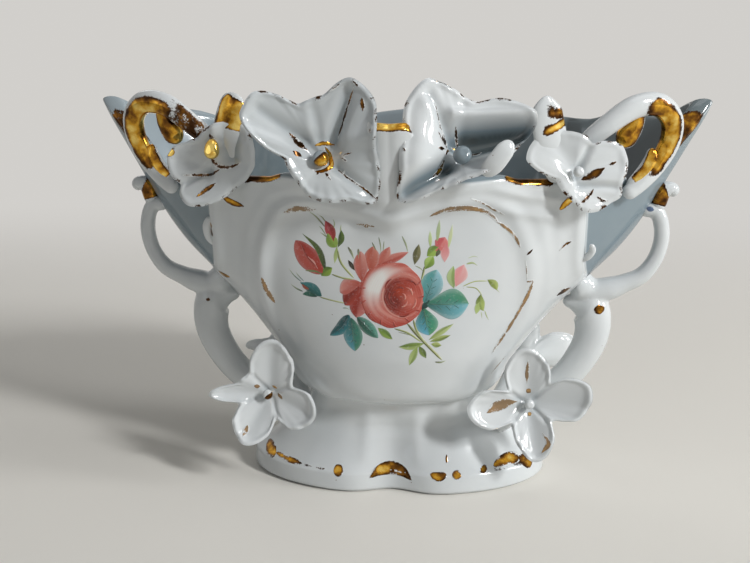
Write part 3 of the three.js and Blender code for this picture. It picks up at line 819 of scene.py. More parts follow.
def right_leaf_gold(t, turn):
    across = math.cos(turn)
    patch = hump(t - 0.78 - 0.05 * across, 0.1) * (1 - step(-0.3, 0.5, across))
    bar = hump(t - 0.6 + 0.03 * across, 0.045) * (1 - step(0.2, 0.8, across))
    return max(0.85 * patch, 1.15 * bar)


for word, side, points, leaf_gold in (
    ("left", -1, LEFT_LEAF, left_leaf_gold), ("right", 1, RIGHT_LEAF, right_leaf_gold),
):
    scroll = joined(
        rolled(RING, ACROSS_RIM, 0.8, 190, 40, side, ring_gold(side)),
        rolled(VOLUTE, ACROSS_RIM, 0.8, 60, 32, side, inner_gold(-0.1, 1.1, 0.95, 110)),
        rolled(RING_LEAF, ACROSS_RIM, 0.7, 50, 28, side, inner_gold(0.1, 1.2, 0.95, 95)),
    )
    fired(scroll, word + "_openwork_scroll", PORCELAIN, "porcelain", word + "_rim_scroll")
    blade = rolled(points, ACROSS_RIM, 0.35, 70, 40, side, leaf_gold)
    fired(blade, word + "_leaf", PORCELAIN, "gilding", word + "_rim_leaf")

# The applied flowers: each corolla is pressed thin from soft porcelain, its edges pinched and
# curled by hand, and stuck on with slip, with a small ball in its throat. Grey painted shade
# is laid in the throats and folds, where shadow falls.
PETAL = 2.6
PETAL_COLUMNS, PETAL_RINGS = 180, 34
BALL_COLUMNS, BALL_ROWS = 40, 24
BOSS_SHARE = 0.42
THROAT_CURVE = 2.2
EDGE_CURVE = 1.6
LIP = 0.9
# outline: direction in degrees, reach, lift of the edge; folds: start, end, depth, width;
# shade: grey painted shade laid all over, for a flower turned away from the light; edge: how much gold the
# edge has; bud: how far the ball is drawn up
RIM_FLOWER_LEFT = {
    "centre": (-27.1, -61, 149.5), "axis": (-0.12, -0.92, 0.3), "throat": 6, "boss": 11, "ball": 3.2,
    "shade": 0.25,
    "outline": [
        (8, 23, 2), (29, 26.5, 7), (46, 30.9, 7), (66, 32.35, 8), (90, 23.5, 5), (112, 22, 5),
        (140, 34.5, 11), (153, 34.5, 10), (170, 24, 6), (186, 14, 2), (221, 13, 0), (253, 15.5, -4),
        (305, 19, -7), (325, 26, -10),
    ],
    "folds": [
        (10.5, 25.5, 4, 8, 2.6, 2.6), (23, -16, 6, -3, 1.8, 2.4), (-4, 21, -1.5, 8, 1.4, 2.4),
        (-24, 17, -7, 6.5, 1.9, 2.6), (-33, 10, -10, 3, -1.8, 3), (-7, 23, -4, 12, -1.0, 2.6),
        (20, 3, 7, 2, 1.2, 4), (17, 22, 10, 9, -1.2, 3),
    ],
}
RIM_FLOWER_RIGHT = {
    "centre": (28.3, -60, 151.4), "axis": (0.2, -0.85, 0.48), "throat": 8, "boss": 11, "ball": 3.6,
    "lip": 0.72,
    "outline": [
        (25, 32, 7), (50, 27.5, 5), (74, 21.5, 3), (96, 25.5, 5), (115, 31.5, 7), (133, 30, 4),
        (164, 24.5, 0), (190, 25, -5), (210, 28, -12), (236, 16, -3), (274, 11.5, 3), (325, 13.5, 7),
        (0, 21, 8),
    ],
    "folds": [
        (-25, -12.5, -5, -3, 5.4, 3.2), (-3, 15.5, 29, 14.5, -3, 2.4), (3, 7, 25, 6.5, 8.5, 5),
        (-13, 18, -19, -6, -3, 7), (-12, 23, -3.5, 6, 2.2, 2.4), (-26, 6, -25, -8, -1, 4),
    ],
}
SHOULDER_FLOWER_LEFT = {
    "centre": (-73.3, -44, 149.7), "axis": (-0.3, -0.9, 0.15), "throat": 2, "boss": 5, "ball": 3.1,
    "lip": 0.4, "shade": 0.15, "bud": 1.7,
    "outline": [
        (20, 17, -3), (45, 17, -4), (66, 14, -2), (90, 11.8, 0), (111, 10.4, 1), (140, 9.5, 1), (163, 13, 1),
        (176, 18.6, 2), (191, 21.8, 2), (208, 22.3, 1), (222, 21.2, 0), (229, 24.8, -1), (240, 25.8, -1),
        (252, 24, -2), (267, 21, -3), (285, 18.4, -4), (300, 16.5, -5), (335, 16.5, -6),
    ],
    "folds": [
        (6, 6, 6.5, -1, 3.2, 4.5), (-0.5, 9, -0.5, 0, -1.4, 2.2), (-17, -4, -3, -7, 0.9, 2.6),
        (-16, -14, -3, -8, 1.8, 1.5), (-10, -19, -3, -10, 0.8, 2.6),
    ],
}
SHOULDER_FLOWER_RIGHT = {
    "centre": (74, -44, 143), "axis": (0.25, -0.9, 0.25), "throat": 2, "boss": 8, "ball": 2.2, "lip": 0.3,
    "outline": [
        (0, 21, 0), (13, 22, 0), (25, 21.9, 1), (35, 19.6, 2), (47, 16.5, 2), (61, 12.8, 2), (71, 13.7, 2),
        (85, 15.2, 2), (100, 16.7, 1), (116, 18.5, 0), (135, 21.3, -1), (150, 21.8, -2), (163, 21.4, -2),
        (174, 17, -2), (186, 12, -2), (200, 9, -2), (240, 10, -2), (265, 12, -3), (281, 15.7, -4),
        (300, 18, -4), (320, 19.3, -4), (333, 21.5, -3), (346, 19.8, -1),
    ],
    "folds": [
        (5, 9.5, -0.5, -2, 1.8, 1.6), (18, -6, 1, -5, 1.8, 1.6), (17, 3, 3, -1.5, 1.0, 3.4),
        (12, -12, 2, -7, 0.9, 3), (-10, 14, -1, 2, 0.8, 3.6),
    ],
}
FOOT_FLOWER_LEFT = {
    "centre": (-54.6, -36, 43.5), "axis": (-0.12, -0.97, 0.15), "throat": 1.5, "boss": 3, "ball": 2.2,
    "edge": 0,
    "outline": [
        (21, 12, 1), (56, 20, 3), (83, 25, 5), (112, 18.5, 4), (134, 12.5, 3), (160, 14, 3), (183, 25.5, 6),
        (200, 13.5, 3), (222, 19.5, 5), (248, 23.5, 6), (272, 18.5, 3), (291, 12, 1), (311, 19, 3),
        (341, 24, 4), (4, 20, 3),
    ],
    "folds": [
        (1, 20, 0, 4, 0.9, 3.4), (-19, 0, -4, 0, 0.9, 2.6), (-8, -17, -2, -4, 1.1, 3.4),
        (17, -7, 4, -2, 1.1, 3.4), (-7, 8, -1, 1, 1.2, 1.2), (-9, -3, -2, -1, 1.2, 1.2),
        (4, -9, 1, -2, 1.2, 1.2), (9, 4, 2, 1, 1.2, 1.2),
    ],
}
FOOT_FLOWER_RIGHT = {
    "centre": (58.3, -36, 42.5), "axis": (0.12, -0.97, 0.15), "throat": 1.5, "boss": 3, "ball": 2.2,
    "edge": 0,
    "outline": [
        (16, 26.5, 7), (37, 19.5, 5), (46, 13.5, 3), (68, 19.5, 4), (97, 25, 5), (122, 20, 3), (147, 12, 2),
        (163, 21, 3), (185, 27, 3), (210, 21, 3), (227, 12, 1), (254, 18.5, 3), (276, 24.5, 5),
        (302, 18.5, 5), (323, 12, 3), (345, 22, 5),
    ],
    "folds": [
        (-2, 20, 0, 4, 1.0, 3.4), (-21, -2, -4, 0, 1.1, 3.4), (2, -19, 0, -4, 1.1, 3.4),
        (20, 1, 4, 0, 0.9, 4), (9, 9, 2, 2, 1.2, 1.2), (-8, 5, -2, 1, 1.2, 1.2), (-7, -7, -2, -2, 1.2, 1.2),
        (7, -7, 2, -2, 1.2, 1.2),
    ],
}


def flower_frame(flower, face):
    """Turns a place on the flower's own plane and height over it into one on the vase."""
    centre, axis = Vector(flower["centre"]), Vector(flower["axis"]).normalized()
    right = Vector((0, 0, 1)).cross(axis).normalized()
    up = axis.cross(right)

    def to_world(a, b, c):
        p = centre + right * a + up * b + axis * c
        return p.x, p.y * face, p.z

    return to_world


def corolla_front(flower):
    """Height, reach and painted shade at a direction in radians and a share of the way to the edge."""
    outline = round_rows(flower["outline"])
    folds = [(Vector(f[:2]), Vector(f[2:4]) - Vector(f[:2]), *f[4:]) for f in flower["folds"]]

    def height(direction, share):
        degrees = math.degrees(direction)
        reach, lift = outline(degrees)
        h = lift * share**EDGE_CURVE - flower["throat"] * (1 - share) ** THROAT_CURVE
        here = Vector((math.cos(direction), math.sin(direction))) * reach * share
        # painted shade: grey laid in the throat and in every fold, more where the fold is deeper
        blue_ground_and_painted_shade = 0.3 * flower["throat"] * (1 - share) ** 4 - 0.8
        for start, run, depth, width in folds:
            t = min(1, max(0, (here - start).dot(run) / run.length_squared))
            sunk = depth * hump((here - start - run * t).length, width) * (1 - 0.6 * share**8)
            h -= sunk
            blue_ground_and_painted_shade += max(0, sunk)
        blue_ground_and_painted_shade = max(0, blue_ground_and_painted_shade)
        painted_shade = flower.get("shade", 0) + min(1.9, 0.17 * blue_ground_and_painted_shade + 0.03 * blue_ground_and_painted_shade**2)
        # the edge curls up a little and is ruffled by the fingers
        lip = flower.get("lip", LIP)
        h += lip * hump(reach * (1 - share) - 1.5, 1.3)
        ruffle = math.sin(direction * 9 + lift) + 0.6 * math.sin(direction * 17 + reach)
        return h + 0.5 * lip * ruffle * share**5, reach, painted_shade

    return height


def press_flower(flower, face):
    height = corolla_front(flower)
    to_world = flower_frame(flower, face)

    def place(u, v):
        row = 2 * v * PETAL_RINGS
        front = row <= PETAL_RINGS
        share = row / PETAL_RINGS if front else (2 * PETAL_RINGS - row) / PETAL_RINGS
        share = math.sin(share * math.pi / 2) ** 0.9 if share < 1 else 1.0
        direction = 2 * math.pi * u
        h, reach, blue_ground_and_painted_shade = height(direction, share)
        a, b = reach * share * math.cos(direction), reach * share * math.sin(direction)
        if not front:
            h -= PETAL * math.sqrt(max(0, 1 - share**4)) + flower["boss"] * hump(share, BOSS_SHARE)
        else:
            h -= 0.25 * share**12
        patch = 0.34 + 0.16 * math.sin(5 * direction + 3 * math.sin(3 * direction + reach))
        rubbed_edge = flower.get("edge", 1) * patch * hump(reach * (1 - share) - 0.4, 1.5)
        return *to_world(a, b, h), rubbed_edge, blue_ground_and_painted_shade if front else 0.0

    return moulded(PETAL_COLUMNS, 2 * PETAL_RINGS, place)


def ball(flower, face, gold):
    """Small dimpled ball in the throat, which rests on the slope of the petals."""
    to_world = flower_frame(flower, face)
    radius = flower["ball"]
    slope = THROAT_CURVE * flower["throat"] / min(row[1] for row in flower["outline"])
    rest = (radius + 0.3) * math.hypot(1, slope) - flower["throat"]

    def place(u, v):
        polar, turn = math.pi * v, 2 * math.pi * u
        dimple = 1 - 0.18 * hump(polar, 0.5)
        a, b = radius * math.sin(polar) * math.cos(turn), radius * math.sin(polar) * math.sin(turn)
        b *= flower.get("bud", 1) if b > 0 else 1
        c = rest + radius * math.cos(polar) * dimple
        # painted shade on the ball, more in a deeper throat
        return *to_world(a, b, c), gold(polar, turn), 0.2 * flower["throat"] - 0.4

    return moulded(BALL_COLUMNS, BALL_ROWS, place)


FLOWERS = [
    ("left_rim_flower", RIM_FLOWER_LEFT, 1), ("right_rim_flower", RIM_FLOWER_RIGHT, 1),
    ("left_shoulder_flower", SHOULDER_FLOWER_LEFT, 1), ("right_shoulder_flower", SHOULDER_FLOWER_RIGHT, 1),
    ("front_left_foot_flower", FOOT_FLOWER_LEFT, 1), ("front_right_foot_flower", FOOT_FLOWER_RIGHT, 1),
    ("back_left_foot_flower", FOOT_FLOWER_LEFT, -1), ("back_right_foot_flower", FOOT_FLOWER_RIGHT, -1),
]
FOOT_STALK = [(56, -33, 43, 4.5), (54, -24, 37, 4.5), (48, -14, 27, 5), (44, -8, 22, 4)]
# how much gold a ball has, and where round it the gold starts, from -1 to 1
BALL_GILDING = {
    "left_rim_flower": (1.05, -0.35), "left_shoulder_flower": (1.2, -2),
    "front_left_foot_flower": (0.7, -0.2),
}
FOLDED_PETAL = [
    (36, -65.4, 144, 2.6), (40.4, -66.8, 148.6, 3.8), (44, -66.8, 153.4, 3.6), (46.8, -65.4, 157, 1.8),
]
for name, flower, face in FLOWERS:
    pressed = press_flower(flower, face)
    if name == "right_rim_flower":
        pressed = joined(pressed, rolled(FOLDED_PETAL, Vector((0.2, -1, 0.2)), 0.3, 40, 30))
    if "foot" in name:
        side = math.copysign(1, flower["centre"][0])
        stalk = [(x, y * face, z, radius) for x, y, z, radius in FOOT_STALK]
        pressed = joined(pressed, rolled(stalk, Vector((0, 0, 1)), 1, 30, 24, side))
    fired(pressed, name + "_petals", PORCELAIN, "porcelain", name)
    laid, start = BALL_GILDING.get(name, (0, 0))

    def ball_gold(polar, turn):
        return laid * step(start, start + 0.5, math.sin(polar) * math.cos(turn + 0.8))

    fired(ball(flower, face, ball_gold), name + "_ball", PORCELAIN, "gilding", name + "_pistil")

# The painted spray: one full rose with its leaves, buds and sprigs, laid on the glaze with
# fine brushes in enamel colours and fired again. Every stroke is a thin lens of enamel that
# follows the wall, darker where the painter pressed and washed out towards its edges.
SPRAY_LIFT, VEIN_LIFT, LINE_LIFT = 0.05, 0.11, 0.17


def enamel_paint():
    """Fired enamel colour: the brush leaves fine streaks, and the flux gives it a soft shine."""
    material, tree, skin = new_material("enamel")
    glaze = placed_group(tree, GLAZE, Cloud=0.5)
    streaks = noise(tree, 900, 3, 0.65)
    thin = math_node(tree, "MULTIPLY_ADD", streaks, 0.9, -0.5, clamp=True)
    feed(
        tree, skin,
        Base_Color=blend(tree, thin, attribute(tree, "paint", "Color"), WHITE),
        Roughness=math_node(tree, "MULTIPLY_ADD", streaks, 0.12, glaze.outputs["Roughness"]),
        Normal=rippled(tree, glaze),
    )
    return material


ENAMEL = enamel_paint()


def wall_spot(x, z, lift=0.0):
    half = wall_sizes(z)[0]
    place = wall_point(math.copysign(1, x), -1, min(1, abs(x) / half), z)
    return place[0], place[1] - lift, z


def foot_spot(x, z, lift=0.0):
    return x, foot_surface(x, z, -1) - lift, z


def mixed(first, second, amount):
    amount = min(1, max(0, amount))
    return tuple(a + (b - a) * amount for a, b in zip(first, second))


def paint_layer(sheet):
    layers = sheet.verts.layers.float_color
    return layers.get("paint") or layers.new("paint")


def stroke(sheet, surface, path, width, colour, steps=22, sides=14, blunt=0.0, belly=0.5, lift=SPRAY_LIFT):
    """One stroke along a path in the surface; blunt 0 is a leaf and 1 a bar.

    The colour is a function of the way along, 0 to 1, and of the way across, -1 to 1.
    """
    points = [Vector((a, b, 0)) for a, b in path]
    layer = paint_layer(sheet)
    made = bmesh.ops.create_grid(sheet, x_segments=sides, y_segments=steps, size=1)["verts"]
    power = math.log(0.5) / math.log(belly)
    for vert in made:
        t, turn = (vert.co.y + 1) / 2, math.pi * (vert.co.x + 1)
        middle, way = bend(points, t)
        leaf = math.sin(math.pi * min(1, max(0, t)) ** power)
        bar = (1 - (2 * t - 1) ** 8) if blunt else 0
        half = width / 2 * max(0, leaf * (1 - blunt) + bar * blunt)
        s = math.cos(turn)
        a, b = middle.x - way.y * s * half, middle.y + way.x * s * half
        thick = min(1, half / 0.3)
        rise = math.sin(turn)
        up = lift * (0.4 + 0.9 * math.sqrt(rise)) * thick if rise > 0 else 0.6 * lift * rise * thick
        vert.co = spot(*surface(a, b, up))
        vert[layer] = colour(t, s)
    sewn(sheet, made)


def washed(root, tip, side=None, rib=None, wash=0.35):
    """Colour from the root to the tip of a stroke, with a second side, a rib and pale edges."""
    root, tip = tone(root), tone(tip)
    side = tone(side) if side else None
    rib = tone(rib) if rib else None

    def colour(t, s):
        found = mixed(root, tip, t)
        if side:
            found = mixed(found, side, step(-0.15, 0.25, s) * (0.35 + 0.65 * t))
        if rib:
            found = mixed(found, rib, hump(s, 0.12) * (1 - t) ** 0.5)
        streak = 0.5 + 0.5 * math.sin(9 * s + 23 * t + 4 * math.sin(5 * t))
        found = mixed(found, WHITE, 0.1 * streak * wash)
        return mixed(found, WHITE, 0.8 * wash * step(0.62, 1, abs(s)) + 0.4 * wash * step(0.8, 1, t))

    return colour


ROSE_DARK, ROSE_RED, ROSE_PINK, ROSE_PALE = tone("6e150a"), tone("a93222"), tone("bd5f52"), tone("dba093")
ROSE_WHITE, ROSE_ORANGE, ROSE_BLUSH = tone("dfe0dc"), tone("a8330f"), tone("c96d5e")
# middle and half width and height of the whole rose, and of the cup of small petals in it
ROSE = (0, 92, 13.7, 14.3)
CUP = (4.6, 91.4, 8.4, 9)


def within(oval, x, z):
    """Place in an oval as shares of its half sizes, distance from its middle, and direction."""
    a, b = (x - oval[0]) / oval[2], (z - oval[1]) / oval[3]
    return a, b, math.hypot(a, b), math.degrees(math.atan2(b, a))


def on_oval(oval, share, turn):
    return oval[0] + oval[2] * share * math.cos(turn), oval[1] + oval[3] * share * math.sin(turn)


def turned_off(turn, towards):
    return (turn - towards + 180) % 360 - 180


def rose_colour(x, z):
    """The full rose: a white-lipped outer petal round a cup of tight dark petals."""
    ball, turn = within(ROSE, x, z)[2:]
    cx, cz, cup, spin = within(CUP, x, z)
    wave = math.sin(math.radians(3 * spin + 40)) + 0.6 * math.sin(math.radians(5 * spin))
    deep = math.hypot(cx + 0.32 * max(0, 1 - cup), cz)
    # lines: brush strokes that follow the petals of the cup, closer together at its left
    lines = 0.5 + 0.5 * math.sin(19 * deep + 0.9 * wave + math.radians(spin))
    colour = mixed(ROSE_PINK, ROSE_PALE, 0.55 * lines)
    white = hump(turned_off(turn, 140), 56) * step(0.98, 1.22, cup) * (1 - step(0.76, 0.95, ball))
    colour = mixed(colour, ROSE_WHITE, 1.25 * white)
    colour = mixed(colour, ROSE_RED, 0.75 * step(0.66, 1, ball) * (1 - 0.55 * hump(turned_off(turn, 45), 50)))
    colour = mixed(colour, ROSE_RED, 0.7 * hump(turned_off(turn, 262), 42) * step(0.5, 1, ball))
    colour = mixed(colour, ROSE_DARK, 0.75 * step(0.86, 1, ball) * hump(turned_off(turn, 205), 55))
    # inside the cup: dark at the left, orange above, pink at the right, and a pale lip
    if cup < 1.08:
        inner = mixed(ROSE_PINK, ROSE_RED, 0.7 + 0.4 * lines)
        inner = mixed(inner, ROSE_DARK, 1.35 * hump(math.hypot(cx + 0.42, (cz - 0.05) * 0.8), 0.66))
        inner = mixed(inner, ROSE_ORANGE, 0.85 * hump(math.hypot(cx + 0.12, cz - 0.3), 0.34))
        inner = mixed(inner, ROSE_BLUSH, 0.9 * hump(math.hypot(cx - 0.4, cz + 0.12), 0.4))
        lip = hump(cup - 0.98, 0.05) * (0.4 + 0.6 * hump(turned_off(spin, 190), 80))
        inner = mixed(inner, ROSE_PALE, 0.9 * lip)
        colour = mixed(inner, colour, step(0.98, 1.08, cup))
    fine = 0.5 + 0.5 * math.sin(57 * cup + 2.3 * wave)
    return mixed(colour, ROSE_PALE, 0.12 * fine * step(0.3, 0.8, cup))


# share of the rows that lie on the front of the rose; the others close it at the back
ROSE_FRONT = 0.9


def paint_rose(sheet):
    layer = paint_layer(sheet)
    made = bmesh.ops.create_grid(sheet, x_segments=150, y_segments=60, size=1)["verts"]
    for vert in made:
        u, v = (vert.co.x + 1) / 2, (vert.co.y + 1) / 2
        share = min(1, v / ROSE_FRONT) ** 0.8 if v <= ROSE_FRONT else (1 - v) / (1 - ROSE_FRONT)
        turn = 2 * math.pi * u
        edge = 1 + 0.012 * math.sin(7 * turn) + 0.01 * math.sin(11 * turn + 1)
        x, z = on_oval(ROSE, edge * share, turn)
        lift = 0.1 * (1 - share**10) + 0.02 if v <= ROSE_FRONT else -0.05
        vert.co = spot(*wall_spot(x, z, lift))
        vert[layer] = rose_colour(x, z)
    sewn(sheet, made)


def stem(sheet, path, width=0.9, dark="4f5a26", light="97a35a"):
    stroke(sheet, wall_spot, path, width, washed(dark, light, side="c3c79a", wash=0.3), blunt=0.85)


def hair(sheet, path, width=0.55, colour="5d6a4a", thin="a9b58c", lift=SPRAY_LIFT):
    stroke(sheet, wall_spot, path, width, washed(colour, thin, wash=0.5), sides=8, belly=0.35, lift=lift)


def leaf(sheet, root, tip, width, dark, light, side=None, rib=None, belly=0.5, wash=0.3, bow=0.0, blunt=0.0):
    """A leaf or petal from its root to its tip; bow bends it sideways by millimetres."""
    a, b = Vector(root), Vector(tip)
    middle = (a + b) / 2 + Vector((-(b - a).y, (b - a).x)).normalized() * bow
    colour = washed(dark, light, side, rib, wash)
    stroke(sheet, wall_spot, [a, middle, b], width, colour, steps=30, sides=22, belly=belly, blunt=blunt)


def rose_leaf(sheet, root, tip, width, dark, light, side, rib, belly=0.55, wash=0.3, bow=0.0):
    """A rose leaf with a rounded tip, its rib and three pairs of veins."""
    leaf(sheet, root, tip, width, dark, light, side, rib, belly, wash, bow, 0.22)
    a, b = Vector(root), Vector(tip)
    way = (b - a).normalized()
    across = Vector((-way.y, way.x))
    middle = (a + b) / 2 + across * bow
    hair(sheet, [a, middle, b - way], 0.5, rib, side, VEIN_LIFT)
    for t, out in ((0.22, 0.3), (0.42, 0.34), (0.62, 0.24)):
        start = a.lerp(b, t) + across * bow * 4 * t * (1 - t)
        for hand in (-1, 1):
            end = start + way * width * 0.3 + across * hand * out * width
            hair(sheet, [start, (start + end) / 2 + way * 0.3, end], 0.36, rib, dark, VEIN_LIFT)


spray = bmesh.new()
# stems first, then leaves, so that the blooms lie over them
stem(spray, [(1, 77.5), (7, 75.5), (12.5, 71.5)])
stem(spray, [(6, 80.5), (10, 75.5), (14, 71), (18, 66.5), (21.3, 62.6)], 1.3, "474d1f", "6d7334")
stem(spray, [(9, 81.5), (10.5, 76.5), (15, 69.5)], 1.0)
hair(spray, [(18, 62.2), (20.5, 61.9), (22.8, 62.6)], 0.9, "4b5223")
hair(spray, [(2.5, 76), (8, 74.5), (13, 71.5)], 0.4)
stem(spray, [(-25, 100), (-20.5, 98.7), (-15.5, 98.2)], 0.8)
stem(spray, [(-22.5, 111), (-20.8, 105), (-15.3, 98.5)], 1.0)
stem(spray, [(-30.5, 89.7), (-25, 88.6), (-18.6, 87.6)], 0.7, "6a7448", "a9b07a")
stem(spray, [(13.6, 104.5), (13, 101.5), (12.3, 98.5)], 0.9, "3d4a22", "70803f")
# teal rose leaves, left
rose_leaf(spray, (-17.8, 82.8), (-26.4, 72.6), 5.4, "0d3f42", "17575c", "2a7d86", "0a2b2e", 0.42, 0.2, 1.4)
rose_leaf(spray, (-17, 81.5), (-15.6, 66.4), 8.2, "1b5548", "4f97a6", "2f7a57", "123f3a", 0.52, 0.25)
rose_leaf(spray, (-14.5, 82.2), (-5.6, 73), 5.6, "153f33", "2c6f5c", "5b9c8a", "10352c", 0.5, 0.25)
hair(spray, [(-20.5, 85.5), (-19, 85.6), (-17.2, 84.8)], 0.5, "4b6d66")
# teal rose leaves, right
rose_leaf(spray, (13.6, 88.4), (18.6, 103), 9.6, "1e6863", "8fc0cb", "3f8f8b", "1a5450", 0.55, 0.3)
rose_leaf(spray, (14, 88.2), (31.8, 88), 13.5, "1f5c50", "6fb0bd", "2f7f52", "1c4f48", 0.62, 0.3)
rose_leaf(spray, (13.2, 86.6), (15.6, 74.4), 9.6, "1f5f45", "5aa6c0", "3a8a55", "1a4c3c", 0.58, 0.25)
leaf(spray, (12.4, 85.5), (15.8, 90.5), 2.6, "12302c", "1d4a44", wash=0.1)
# yellow-green leaves
leaf(spray, (-5.8, 77.6), (0.4, 72.6), 3.4, "6c8b34", "8aa543", "4d6b28", wash=0.3)
leaf(spray, (13.6, 70.9), (2.8, 69.2), 3.3, "7d9440", "55702a", "a7b871", "4c611f", 0.5, 0.3, 0.5)
leaf(spray, (10.8, 69.8), (7.2, 60.6), 3.2, "8a9f4c", "b3c282", "6d8639", wash=0.45)
leaf(spray, (11.4, 69.8), (14.4, 64), 2.8, "5a6c2a", "7f9648", "3f521d", wash=0.3)
leaf(spray, (15.4, 72.4), (25.8, 79.4), 2.7, "8b9c4c", "b9c689", "6f8439", wash=0.5)
leaf(spray, (15.8, 71.6), (24.6, 74.3), 2.4, "7c8f41", "5c6b2b", "a3b062", wash=0.4)
leaf(spray, (16.4, 70.6), (20.8, 69.7), 2.6, "8fa052", "68782f", "adb96f", wash=0.4)
# full rose: back petals, side petals, then the ball
leaf(spray, (-6, 104.6), (7, 110.4), 3.8, "a03a2c", "b5584d", "c97f72", wash=0.25, blunt=0.1)
leaf(spray, (-5.2, 103.4), (-0.6, 112.6), 4.6, "b14c3b", "d08d80", "b9594b", "95301f", 0.5, 0.3, blunt=0.12)
leaf(spray, (-8.6, 101.6), (-7.5, 112.6), 6.6, "a8432f", "c77d6d", "b2513e", "8f2d1d", 0.55, 0.25, blunt=0.15)
leaf(spray, (-12.4, 97.6), (-12.6, 110.4), 6.4, "a23c2e", "cf9388", "b75a4a", "8c3024", 0.55, 0.25, 0, 0.15)
leaf(spray, (-12.6, 97), (-21.6, 92.4), 8.4, "a8402f", "cc8a80", "b05044", "8a2c1f", 0.55, 0.3, blunt=0.2)
leaf(spray, (-13.2, 95.6), (-19.6, 86.8), 7, "8c2415", "7b1d0c", "a3392a", "64130a", 0.6, 0.12, blunt=0.15)
leaf(spray, (-12.4, 93.6), (-14.8, 81.6), 7.4, "9c2f20", "8e2416", "bf7068", "74180c", 0.6, 0.15, blunt=0.15)
paint_rose(spray)
# fine lines round the heart of the rose, dark at the left and some pale at the right
for k in range(15):
    path = []
    for j in range(4):
        share, turn = 1.0 - 0.055 * k - 0.02 * j * (j - 1), math.radians(120 + 137.5 * k + (15 + k) * j)
        x, z = on_oval(CUP, share, turn)
        path.append((x - 2.6 * (1 - share), z))
    pale = k in (4, 7, 9, 12)
    line = washed("cf9284" if pale else "6e150a", "b9594b" if pale else "98301f", wash=0.08)
    stroke(spray, wall_spot, path, 0.85, line, sides=8, belly=0.4, lift=LINE_LIFT)
# short lines on the outer petal
for k in range(9):
    turn = math.radians(150 + 27 * k)
    path = [on_oval(ROSE, share, turn + 0.35 * share) for share in (0.98, 0.86, 0.74)]
    line = washed("8f2415", "bd5f52", wash=0.08)
    stroke(spray, wall_spot, path, 0.8, line, sides=8, belly=0.3, lift=LINE_LIFT)
fired(spray, "painted_rose", ENAMEL, "porcelain")

buds = bmesh.new()
# large red bud on the left, with its calyx
leaf(buds, (-28.6, 99.8), (-40.2, 113.6), 9.6, "a8382a", "9c2f26", "b4574c", None, 0.5, 0.15, 0.6, 0.3)
leaf(buds, (-29.6, 101.6), (-38.2, 112.8), 4.2, "85201a", "741a14", "c06a60", None, 0.55, 0.12, 1.4)
leaf(buds, (-30.4, 101.2), (-35.6, 107.5), 2.2, "cf8c82", "d8a49b", wash=0.3, bow=-0.6)
leaf(buds, (-27.6, 101.8), (-37.2, 116.8), 2.7, "2c3c16", "5a6a3a", "4d6122", None, 0.34, 0.15, -2.2)
leaf(buds, (-27, 98.9), (-36.6, 100.8), 1.5, "4d5c2c", "7d8a5c", wash=0.3, bow=-1.0)
leaf(buds, (-29.4, 99), (-24.6, 102.8), 4.2, "6d8a2e", "86a23c", "47601c", None, 0.5, 0.1, 0.2)
# top bud
leaf(buds, (-23.6, 113.2), (-27.2, 122.6), 4.3, "93312a", "842028", "b3454a", None, 0.55, 0.1, -0.4)
leaf(buds, (-22.6, 111.6), (-26.4, 117.6), 5.0, "84a040", "8ca84a", "6c8a31", None, 0.4, 0.15, 0.4)
leaf(buds, (-22.2, 111.4), (-20.6, 119), 2.6, "3f5520", "5d7430", "33481a", None, 0.55, 0.1, -0.8)
leaf(buds, (-22.4, 112), (-23.6, 104.6), 1.8, "8ea457", "b4c284", wash=0.4)
hair(buds, [(-24.6, 114.6), (-27.6, 116.4), (-29.8, 117.8)], 0.7, "46542a")
hair(buds, [(-27, 119.5), (-31, 124), (-35.6, 127.4)], 0.7, "4f4a24")
hair(buds, [(-26.6, 121.4), (-28.6, 124), (-31, 125.6)], 0.5, "5a5d33")
hair(buds, [(-24.4, 118), (-23.4, 121.6), (-24.8, 124.6)], 0.5, "7a8a52")
hair(buds, [(-21, 117.4), (-20.6, 121.4)], 0.6, "9aa874")
hair(buds, [(-27, 116.5), (-29, 119.4), (-30, 120.4)], 0.5, "6e7d4c")
# teal bud
leaf(buds, (-29.4, 90), (-38.8, 95.4), 5.0, "1d5d5a", "3a7f83", "12453f", None, 0.45, 0.15, -0.6)
leaf(buds, (-34.6, 92.4), (-38.2, 94.9), 2.2, "8e4a34", "9c4c38", wash=0.2)
leaf(buds, (-31.4, 89.6), (-38, 90.2), 2.6, "123f37", "2c6a58", wash=0.15, bow=-0.8)
hair(buds, [(-38, 95.6), (-41.4, 98.4), (-43.8, 101.4)], 0.6, "3f6470")
hair(buds, [(-37, 96), (-39.4, 98.4), (-40.6, 100)], 0.5, "4a6a72")
hair(buds, [(-37.6, 91.4), (-40.6, 92.6), (-43.2, 94.4)], 0.8, "27443f")
# pink bud, upper right, and its calyx
leaf(buds, (17.2, 110.2), (21.8, 116.6), 6.2, "c25b58", "d4807c", "b8434c", None, 0.6, 0.2, -0.5)
leaf(buds, (21.6, 106), (21.8, 114.5), 3.8, "d9a5a3", "c96a6d", wash=0.35)
leaf(buds, (14.4, 108.6), (19.6, 113), 4.6, "86a33f", "9ab659", "4f6b28", None, 0.5, 0.15)
leaf(buds, (18.2, 108.4), (19.4, 112.4), 2.4, "4a4a34", "5b6238", wash=0.2)
leaf(buds, (13.6, 103), (17, 108.8), 4.2, "4f6b22", "8dab48", "a9c36c", None, 0.55, 0.1)
leaf(buds, (15.8, 112), (15.6, 119.4), 1.6, "a3b874", "b7c596", wash=0.5)
leaf(buds, (18.4, 114), (19.4, 124), 1.7, "93a56a", "aab792", wash=0.45)
leaf(buds, (23, 111.5), (24.6, 122), 1.6, "b4c187", "c9d0ac", wash=0.55)
